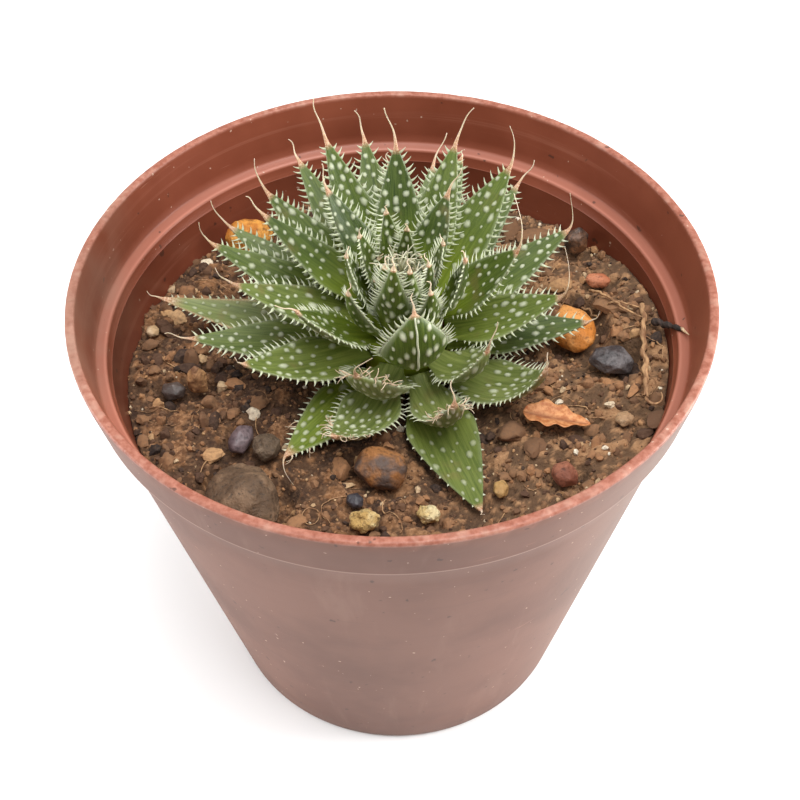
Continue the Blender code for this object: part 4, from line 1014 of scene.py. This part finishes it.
def add_spot(work, leaf, along, across, under, radius, stretch, lumps):
    """A low white pimple with an uneven outline, whose foot sinks and fades into the flesh."""
    height = radius * 0.36

    def place(step_along, step_across, raised, white):
        at_along = min(leaf.length, max(0.0, along + step_along))
        limit = leaf.half_width(at_along) * 0.97
        at_across = min(limit, max(-limit, across + step_across))
        values = leaf.values(at_along, at_across, white * leaf.spot_white)
        return work.add(leaf.point(at_along, at_across, under, raised), **values)

    rings = []
    for grow, raised, white in ((1.3, -0.04, 0.0), (0.95, 0.3 * height, 0.25), (0.55, 0.8 * height, 0.8)):
        ring = []
        for lump, (x, y) in zip(lumps, circle(8)):
            reach = radius * grow * lump
            ring.append(place(reach * stretch * x, reach * y, raised, white))
        rings.append(ring)
    work.loft(rings)
    work.fan(rings[-1], place(0.0, 0.0, height, 1.0))


def spot_places(leaf, chance):
    """Scattered places, none too near another, thinning out towards the root."""
    places = []
    for _ in range(SPOT_TRIES):
        along = leaf.length * chance.uniform(leaf.first_spot, 0.95)
        half = leaf.half_width(along)
        across = chance.uniform(-1, 1) * (half - 0.55)
        if half < 0.9:
            continue
        share = along / leaf.length
        radius = (0.32 + 0.36 * chance.random() ** 1.4) * (1.0 - 0.3 * smoothstep(share, 0.7, 1.0))
        gap = leaf.spot_gap * (1.0 + 0.9 * (1.0 - smoothstep(share, leaf.first_spot, 0.5)))
        if all(math.hypot((along - a) / leaf.stretch, across - b) > gap for a, b, _ in places):
            places.append((along, across, radius))
    return places


def draw_leaf(work, leaf, awn, chance):
    add_awn(work, leaf, add_blade(work, leaf), *awn, chance)
    add_teeth(work, leaf, chance)
    for under in (False, True):
        for along, across, radius in spot_places(leaf, chance):
            stretch = leaf.stretch * chance.uniform(0.8, 1.3)
            lumps = [chance.uniform(0.78, 1.15) for _ in range(8)]
            add_spot(work, leaf, along, across, under, radius, stretch, lumps)
    add_fringe(work, leaf, chance)
    if leaf.keel:
        add_keel(work, leaf)


def leaf_work():
    return Patchwork("leaf_place", "along", "white", "dry", "straw", "grey", "dark", "limy")


def trim_of(number):
    """The upper leaves have more teeth, and those at the back have their teeth and spots dimmed as painted
    shade.
    """
    upper = {"tooth_spacing": 1.0, "tooth_length": 1.7} if number > 30 else {}
    # Painted shade: dimmer whites on the leaves at the back.
    back = {"tooth_white": 0.76, "spot_white": 0.8} if 45 < LEAVES[number - 1][1] < 172 else {}
    return {**upper, **back, **SPECIAL.get(number, {})}


def make_leaves(finish):
    for number, (row, tones) in enumerate(zip(LEAVES, LEAF_TONES), start=1):
        work = leaf_work()
        leaf = Leaf(number, tones, trim_of(number), *row[:7])
        draw_leaf(work, leaf, row[7:], random.Random(100 + number))
        node = f"leaf_{number:02d}"
        carry(work.build(node + "_blade", finish), node)


def make_heart(finish):
    """The stem with the young leaves, and a nest of the very smallest ones and their threads."""
    chance = random.Random(77)
    work = leaf_work()
    values = {"leaf_place": Vector((0, 0, 900.0)), "along": 0.1, "limy": 0.8}
    heights = [(-HOLE_DEPTH, STEM_FOOT_RADIUS)]
    heights += [(STEM_HEIGHT * share, stem_radius_at(STEM_HEIGHT * share)) for share in
                (0.0, 0.2, 0.35, 0.5, 0.6, 0.7, 0.8, 0.87, 0.93, 0.97, 0.99)]
    rings = []
    for height, radius in heights:
        centre = PLANT_FOOT + PLANT_AXIS * height
        rings.append(work.ring(centre, PLANT_RIGHT * radius, PLANT_BACK * radius, 32, **values))
    top = PLANT_FOOT + PLANT_AXIS * (STEM_HEIGHT - 0.1)
    work.close(rings, PLANT_FOOT - PLANT_AXIS * HOLE_DEPTH, top, **values)
    for number, row in enumerate(HEART_LEAVES, start=40):
        leaf = Leaf(number, YOUNG_TONES, YOUNG_TRIM, *row)
        leaf.root -= leaf.out * YOUNG_LEAF_SINK
        draw_leaf(work, leaf, (2.5, 0.0, 0.6), chance)
    for index in range(NEST_LEAVES):
        row = (16.2 + 2.5 * index / NEST_LEAVES, 137.5 * index, 8.4 - 0.2 * index, 62 + 1.1 * index, 92,
               2.7 - 0.05 * index)
        leaf = Leaf(40 + len(HEART_LEAVES) + index, NEST_TONES, NEST_TRIM, *row)
        leaf.root -= leaf.out
        draw_leaf(work, leaf, (1.6, chance.uniform(-0.6, 0.6), 0.4), chance)
    for _ in range(NEST_THREADS):
        azimuth = chance.uniform(0, 2 * math.pi)
        reach = 0.4 + 3.4 * chance.random()
        out = PLANT_RIGHT * math.cos(azimuth) + PLANT_BACK * math.sin(azimuth)
        place = PLANT_FOOT + PLANT_AXIS * (STEM_HEIGHT + 9.0 - 0.9 * reach) + out * reach
        way = (PLANT_AXIS + out * 0.3).normalized()
        route = [place - way * 7.0, place - way * 3.5]
        route += stray(place, way, 0.42, 9, jitter(chance, 0.5) * 0.7)
        tone = {**values, "straw": chance.uniform(0.2, 0.6), "white": 1.0}
        tube(work, route, lambda share: 0.17 - 0.08 * share, 5, **tone)
    carry(work.build("heart_nest", finish), "heart")


# Soil and what lies on it


def tree_of(node):
    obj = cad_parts[node]
    points = [vert.co / METRES_PER_MM for vert in obj.data.vertices]
    faces = [tuple(face.vertices) for face in obj.data.polygons]
    return BVHTree.FromPolygons(points, faces)


def disc_place(u, v):
    """A place of the square from -1 to 1 moved onto the unit disc, with even cells."""
    if abs(u) < 1e-9 and abs(v) < 1e-9:
        return 0.0, 0.0
    if abs(u) > abs(v):
        radius, turn = u, math.pi / 4 * v / u
    else:
        radius, turn = v, math.pi / 2 - math.pi / 4 * u / v
    return radius * math.cos(turn), radius * math.sin(turn)


def soil_crumble(x, y):
    """Clods and crumbs: rounded lumps of three sizes with a rough skin."""
    height = 0.0
    for size, tall, level in ((4.4, 1.0, 0.0), (2.0, 0.65, 7.0), (0.95, 0.4, 11.0)):
        distances, places = noise.voronoi(Vector((x / size, y / size, level)))
        lump = 1.0 - smoothstep(distances[0], 0.0, 0.75)
        height += tall * lump * (0.35 + 0.65 * noise.cell(places[0] * 3.1))
    return height + 0.35 * ripple(x / 1.1, y / 1.1, 3.0) + 0.18 * ripple(x / 0.55, y / 0.55, 5.0) - 0.75


class Ground:
    """The soil's height anywhere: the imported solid's, smoothed, with crumbs added."""

    def __init__(self):
        self.tree = tree_of("soil")

    def smooth(self, x, y):
        levels = []
        for dx, dy in ((0, 0), (0.9, 0), (-0.9, 0), (0, 0.9), (0, -0.9)):
            hit = self.tree.ray_cast(Vector((x + dx, y + dy, SOIL_TOP)), Vector((0, 0, -1)))[0]
            if hit is not None:
                levels.append(hit.z)
        return sum(levels) / len(levels) if levels else SOIL_LEVEL

    def at(self, x, y):
        return self.smooth(x, y) + soil_crumble(x, y)


def make_soil(ground):
    """The soil's crumbly top, which meets the wall all round, and a plain body below it."""
    work = Patchwork("hollow")
    grid = []
    for row in range(SOIL_GRID + 1):
        line = []
        for column in range(SOIL_GRID + 1):
            x, y = disc_place(2 * column / SOIL_GRID - 1, 2 * row / SOIL_GRID - 1)
            level = ground.smooth(x * SOIL_REACH, y * SOIL_REACH)
            at_wall = smoothstep(math.hypot(x, y), 0.97, 1.0)
            reach = SOIL_REACH + (wall_inner_radius(level) - SOIL_WALL_GAP - SOIL_REACH) * at_wall
            crumble = soil_crumble(x * reach, y * reach)
            place = Vector((x * reach, y * reach, level + crumble))
            # The low places of the crumbly top are marked for painted shade.
            line.append(work.add(place, hollow=smoothstep(crumble, -0.2, -0.8)))
        grid.append(line)
    work.sheet(grid)
    border = edge_of(grid)
    # The body's sides and bottom are marked for full painted shade.
    floor = FLOOR_RISE + FLOOR_THICKNESS + 0.3
    lower = []
    for index in border:
        place = work.points[index].copy()
        place.z = 0.0
        place = place.normalized() * (wall_inner_radius(floor) - 0.3)
        lower.append(work.add(Vector((place.x, place.y, floor)), hollow=1.0))
    work.loft([border, lower])
    work.fan(lower, work.add(Vector((0, 0, floor)), hollow=1.0))
    carry(work.build("soil_bed", soil_look()), "soil")


def lump_points(subdivisions, chance, bumps, planes):
    """A unit lump: an icosphere bumped by noise and cut flat by a few random planes."""
    shape = bmesh.new()
    bmesh.ops.create_icosphere(shape, subdivisions=subdivisions, radius=1.0)
    offset = Vector([chance.uniform(-50, 50) for _ in range(3)])
    cuts = []
    for _ in range(planes):
        cuts.append((jitter(chance, 1).normalized(), chance.uniform(0.62, 0.85)))
    points = []
    for vert in shape.verts:
        way = vert.co.normalized()
        reach = 1.0 + bumps * noise.noise(way * 1.6 + offset) + 0.4 * bumps * noise.noise(way * 4.0 + offset)
        for normal, depth in cuts:
            facing = way.dot(normal)
            if facing > 0:
                reach = min(reach, depth / facing)
        points.append(way * reach)
    faces = [tuple(vert.index for vert in face.verts) for face in shape.faces]
    shape.free()
    return points, faces


def add_lump(work, points, faces, place, sizes, turn, **values):
    start = len(work.points)
    for point in points:
        local = turn @ Vector((point.x * sizes[0], point.y * sizes[1], point.z * sizes[2]))
        work.add(place + local, **values)
    work.faces += [tuple(start + index for index in face) for face in faces]


def make_crumbs(ground):
    """Loose grains of all sizes, dry clods at the right, gravel at the left. Large ones keep off stones."""
    boxes = [tuple(corner / METRES_PER_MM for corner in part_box(row[0])) for row in STONES]
    chance = random.Random(11)
    rough = [lump_points(2, chance, 0.5, 3) for _ in range(CRUMB_KINDS)]
    plain = [lump_points(1, chance, 0.5, 2) for _ in range(CRUMB_KINDS)]
    fine = [lump_points(3, chance, 0.45, 7) for _ in range(DEBRIS_KINDS)]
    work = Patchwork("grain")
    for x, y, half_x, half_y, half_z, degrees, sunk, grain in DEBRIS:
        points, faces = fine[chance.randrange(len(fine))]
        spin = Matrix.Rotation(math.radians(degrees), 3, "Z")
        spin = spin @ Matrix.Rotation(chance.uniform(-0.25, 0.25), 3, "X")
        place = Vector((x, y, ground.at(x, y) + half_z * (0.75 - sunk)))
        add_lump(work, points, faces, place, (half_x, half_y, half_z), spin, grain=grain)
    # Count, least and most size, kinds, the side that they lie on and its spread in degrees, and tone
    for count, least, most, kinds, side, spread, tone in (
            (90, 1.0, 2.1, fine, 180, 28, 0.28), (280, 0.5, 1.5, rough, -10, 42, 0.52),
            (200, 0.8, 1.5, rough, 0, 0, 0.4), (1700, 0.4, 0.85, plain, 0, 0, 0.4),
            (3400, 0.18, 0.42, plain, 0, 0, 0.4)):
        for _ in range(count):
            radius = CRUMB_REACH * math.sqrt(chance.random())
            turn = 2 * math.pi * chance.random()
            if spread:
                radius = chance.uniform(30.0, 52.0)
                turn = math.radians(chance.gauss(side, spread))
            x = radius * math.cos(turn)
            y = radius * math.sin(turn)
            size = least + (most - least) * chance.random() ** 2
            if any(low.x < x < high.x and low.y < y < high.y for low, high in boxes) and size > FINE_GRAIN:
                continue
            points, faces = kinds[chance.randrange(len(kinds))]
            spin = jitter(chance, 1).normalized()
            turned = Matrix.Rotation(chance.uniform(0, 6.28), 3, spin)
            scales = [size * chance.uniform(0.65, 1.15) for _ in range(3)]
            grain = min(1.0, max(0.0, chance.gauss(tone, 0.1 if tone > 0.5 else 0.2)))
            if chance.random() < 0.05:
                grain = chance.uniform(0.85, 1.0)
            place = Vector((x, y, ground.at(x, y) + size * 0.2))
            add_lump(work, points, faces, place, scales, turned, grain=grain)
    carry(work.build("soil_crumbs", crumb_look(), 40))


def make_fibres(ground, finish):
    """Short stray fibres all over the soil, and the longer roots."""
    chance = random.Random(23)
    work = Patchwork()
    for _ in range(LOOSE_FIBRES):
        radius = 50.0 * math.sqrt(chance.random())
        turn = 2 * math.pi * chance.random()
        x = radius * math.cos(turn)
        y = radius * math.sin(turn)
        heading = chance.uniform(0, 2 * math.pi)
        bend = chance.gauss(0, 0.25)
        thick = chance.uniform(0.06, 0.16)
        route = []
        for _ in range(chance.randrange(6, 16)):
            if math.hypot(x, y) > 52.0:
                break
            route.append(Vector((x, y, ground.at(x, y) + thick + 0.2)))
            heading += bend + chance.gauss(0, 0.2)
            x += 0.8 * math.cos(heading)
            y += 0.8 * math.sin(heading)
        if len(route) > 3:
            tube(work, route, lambda share, thick=thick: thick * (1.0 - 0.6 * share), 5)
    for thick, places in ROOTS:
        route = root_route(ground, places, chance)
        tube(work, route, lambda share, thick=thick: thick * (1.0 - 0.5 * share), 6)
    carry(work.build("soil_fibres", finish))


def root_route(ground, places, chance):
    """A line over the soil through the places, with small turns between them."""
    route = []
    for (x0, y0, z0), (x1, y1, z1) in zip(places, places[1:]):
        steps = max(3, int(math.hypot(x1 - x0, y1 - y0) / 0.7))
        for step in range(steps):
            share = step / steps
            x = x0 + (x1 - x0) * share + chance.gauss(0, 0.12)
            y = y0 + (y1 - y0) * share + chance.gauss(0, 0.12)
            route.append(Vector((x, y, ground.smooth(x, y) + 0.8 + z0 + (z1 - z0) * share)))
    return route


def make_twig():
    """The black twig at the right that leans on the pot's ledge, with a pale broken tip."""
    chance = random.Random(31)
    route = [Vector(TWIG_FOOT).lerp(Vector(TWIG_TOP), step / 14) for step in range(15)]
    for place in route[1:-1]:
        place += jitter(chance, 0.1)
    tip_way = Vector((0.6, -2.4, 1.0))
    tip = [Vector(TWIG_TOP) + tip_way * share for share in (-0.2, 0.1, 0.4, 0.7, 1.0)]

    def dark_radius(share):
        return 0.75 - 0.35 * share + 0.12 * math.sin(share * 17.0)

    def tip_radius(share):
        return 0.4 * (1.0 - 0.8 * share)

    for name, finish, line, sides, tones, radius_at in (
            ("twig_dark", "twig_dark", route, 10, ((84, 66, 58), (34, 27, 24)), dark_radius),
            ("twig_tip", "twig_pale", tip, 8, ((226, 200, 164), (170, 128, 92)), tip_radius)):
        work = Patchwork()
        tube(work, line, radius_at, sides)
        carry(work.build(name, dry_look(finish, *tones)))


def make_stones():
    """Each stone keeps its solid's outline, with a finer skin and chipped flats."""
    for number, (node, slot, main, other, flats, rough) in enumerate(STONES):
        low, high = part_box(node)
        solid = tree_of(node)
        centre = (low + high) / 2 / METRES_PER_MM
        corners = [vert.co / METRES_PER_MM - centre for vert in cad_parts[node].data.vertices]
        chance = random.Random(500 + number)
        size = max(high - low) / METRES_PER_MM
        cuts = []
        for _ in range(flats):
            normal = jitter(chance, 1).normalized()
            cuts.append((normal, chance.uniform(0.76, 0.92) * max(corner.dot(normal) for corner in corners)))
        shape = bmesh.new()
        bmesh.ops.create_icosphere(shape, subdivisions=5 if size > 8 else 4, radius=1.0)
        offset = Vector((number * 9.1, 3.0, 0.0))
        work = Patchwork()
        for vert in shape.verts:
            way = vert.co.normalized()
            hit, _, _, distance = solid.ray_cast(centre, way)
            reach = distance if hit is not None else size / 2
            bump = sum(depth * rough * noise.noise(way * scale + offset) for depth, scale in
                       ((0.05, 3.0), (0.035, 8.0), (0.02, 20.0)))
            if rough > 2:
                near = noise.voronoi(way * 2.6 + offset)[0]
                bump += 0.12 - 0.3 * near[0] ** 2
            for normal, depth in cuts:
                if way.dot(normal) > 0:
                    reach = min(reach, depth / way.dot(normal))
            work.add(centre + way * (reach * (1.0 + bump)))
        work.faces = [tuple(vert.index for vert in face.verts) for face in shape.faces]
        shape.free()
        gloss = 0.45 if slot == "stone_dark" else 0.7
        piece = work.build(node + "_skin", stone_look(node, main, other, gloss, rough))
        smooth = piece.modifiers.new("rounding", "SMOOTH")
        smooth.iterations = 2
        smooth.factor = 0.5
        carry(piece, node)


def make_straw(finish):
    """The knotty straw: its solid's line, rougher and thinner, with a frayed end that curls on."""
    chance = random.Random(41)
    work = Patchwork()
    low, high = (corner / METRES_PER_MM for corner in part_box("straw"))
    tree = tree_of("straw")
    route = []
    for step in range(STRAW_STEPS + 1):
        share = step / STRAW_STEPS
        x = STRAW_X_BACK + (STRAW_X_FRONT - STRAW_X_BACK) * share
        y = high.y - 0.3 + (low.y - high.y + 0.6) * share
        route.append(tree.find_nearest(Vector((x, y, (low.z + high.z) / 2)))[0])
    evened = []
    for index, place in enumerate(route):
        around = route[max(0, index - 4):index + 5]
        middle = sum(around, Vector()) / len(around)
        x = middle.x + 0.6 * ripple(index * 0.17, 0, 4)
        evened.append(Vector((x, place.y, middle.z + 0.2 * ripple(index * 0.3, 3))))

    def radius(share):
        knot = max(0.0, 1.0 - abs(share - 0.33) * 30) + max(0.0, 1.0 - abs(share - 0.72) * 26)
        return 0.5 + 0.3 * knot + 0.16 * ripple(share * 22.0, 1.0)

    tube(work, evened, radius, 12)
    for index in (8, 20, 33, 44, 57):
        place = evened[index]
        way = Vector((chance.uniform(-1, 1), -1.0, chance.uniform(0.0, 0.5))).normalized()
        shred = [place]
        for _ in range(7):
            place = place + way * 0.42
            way = (way + jitter(chance, 0.18)).normalized()
            shred.append(place)
        tube(work, shred, lambda share: 0.2 * (1.0 - 0.8 * share), 5)
    hook = []
    for step in range(12):
        turn = 0.32 * step
        curl = Vector((1.5 - 1.5 * math.cos(turn), -1.9 * math.sin(turn), 0.05 * step - 0.2))
        hook.append(evened[-1] + curl)
    tube(work, hook, lambda share: 0.34 * (1.0 - 0.7 * share), 6)
    carry(work.build("straw_skin", finish), "straw")


def make_scrap():
    """A thin dry leaf, folded along its midrib, with a wavy margin and a thin tail."""
    low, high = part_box("leaf_scrap")
    centre = (low + high) / 2 / METRES_PER_MM
    along = Vector((math.cos(SCRAP_TURN), math.sin(SCRAP_TURN), 0.0))
    across = Vector((-along.y, along.x, 0.0))
    work = Patchwork("fold")
    upper = []
    lower = []
    for station in range(SCRAP_STATIONS + 1):
        share = station / SCRAP_STATIONS
        reach = (share - 0.5) * 2 * SCRAP_HALF_LENGTH
        half = SCRAP_HALF_WIDTH * math.sin(math.pi * share**0.8) ** 0.8 * (1.0 - 0.25 * share) + 0.12
        rows = ([], [])
        for step in range(-SCRAP_ACROSS, SCRAP_ACROSS + 1):
            part = step / SCRAP_ACROSS
            level = 1.5 * abs(part) ** 1.4 * (half / SCRAP_HALF_WIDTH) + 1.2 * (share - 0.45) ** 2
            level += 0.35 * ripple(share * 7.0, part * 1.5, 2.0) * abs(part)
            level -= 0.6 * part * math.sin(3.0 * share)
            wavy = part * half * (1.0 + 0.12 * math.sin(share * 23 + part))
            place = centre + along * reach + across * wavy
            fold = smoothstep(abs(part), 0.3, 0.0)
            for row, drop in zip(rows, (0.0, SCRAP_THICKNESS)):
                row.append(work.add(place + Vector((0, 0, level - drop)), fold=fold))
        upper.append(rows[0])
        lower.append(rows[1])
    work.sheet(upper)
    work.sheet(lower, turned=True)
    work.loft([edge_of(upper), edge_of(lower)])
    carry(work.build("leaf_scrap_skin", scrap_look()), "leaf_scrap")


# Stage


def make_camera():
    data = bpy.data.cameras.new("camera")
    data.lens = CAMERA_LENS
    data.sensor_width = CAMERA_SENSOR
    data.clip_start = 0.01
    camera = bpy.data.objects.new("camera", data)
    bpy.context.scene.collection.objects.link(camera)
    place = Matrix((CAMERA_RIGHT, CAMERA_UP, -CAMERA_FORWARD)).transposed().to_4x4()
    place.translation = CAMERA_PLACE * METRES_PER_MM
    camera.matrix_world = place
    bpy.context.scene.camera = camera


def make_stage():
    world = bpy.data.worlds.new("studio")
    world.use_nodes = True
    backdrop = world.node_tree.nodes["Background"]
    backdrop.inputs["Color"].default_value = (1.0, 1.0, 1.0, 1.0)
    backdrop.inputs["Strength"].default_value = BACKDROP_STRENGTH
    bpy.context.scene.world = world
    for name, place, size, watts in LIGHTS:
        data = bpy.data.lights.new(name, "AREA")
        data.shape = "DISK"
        data.size = size
        data.energy = watts
        light = bpy.data.objects.new(name, data)
        light.location = place
        light.rotation_euler = (LIGHTS_AIM - Vector(place)).to_track_quat("-Z", "Y").to_euler()
        bpy.context.scene.collection.objects.link(light)
    mesh = bpy.data.meshes.new("floor")
    corners = [(x * FLOOR_REACH, y * FLOOR_REACH, 0) for x, y in ((-1, -1), (1, -1), (1, 1), (-1, 1))]
    mesh.from_pydata(corners, [], [(0, 1, 2, 3)])
    mesh.materials.append(floor_look())
    floor = bpy.data.objects.new("floor", mesh)
    floor.location = (0, 0, -FLOOR_DROP)
    bpy.context.scene.collection.objects.link(floor)
    bpy.context.scene.view_settings.view_transform = "Standard"


def main():
    make_camera()
    make_stage()
    make_pot()
    flesh = leaf_look()
    make_leaves(flesh)
    make_heart(flesh)
    ground = Ground()
    make_soil(ground)
    make_crumbs(ground)
    make_stones()
    straw_finish = dry_look("straw_dry", (196, 156, 112), (128, 90, 60))
    make_straw(straw_finish)
    make_scrap()
    make_twig()
    make_fibres(ground, straw_finish)


main()
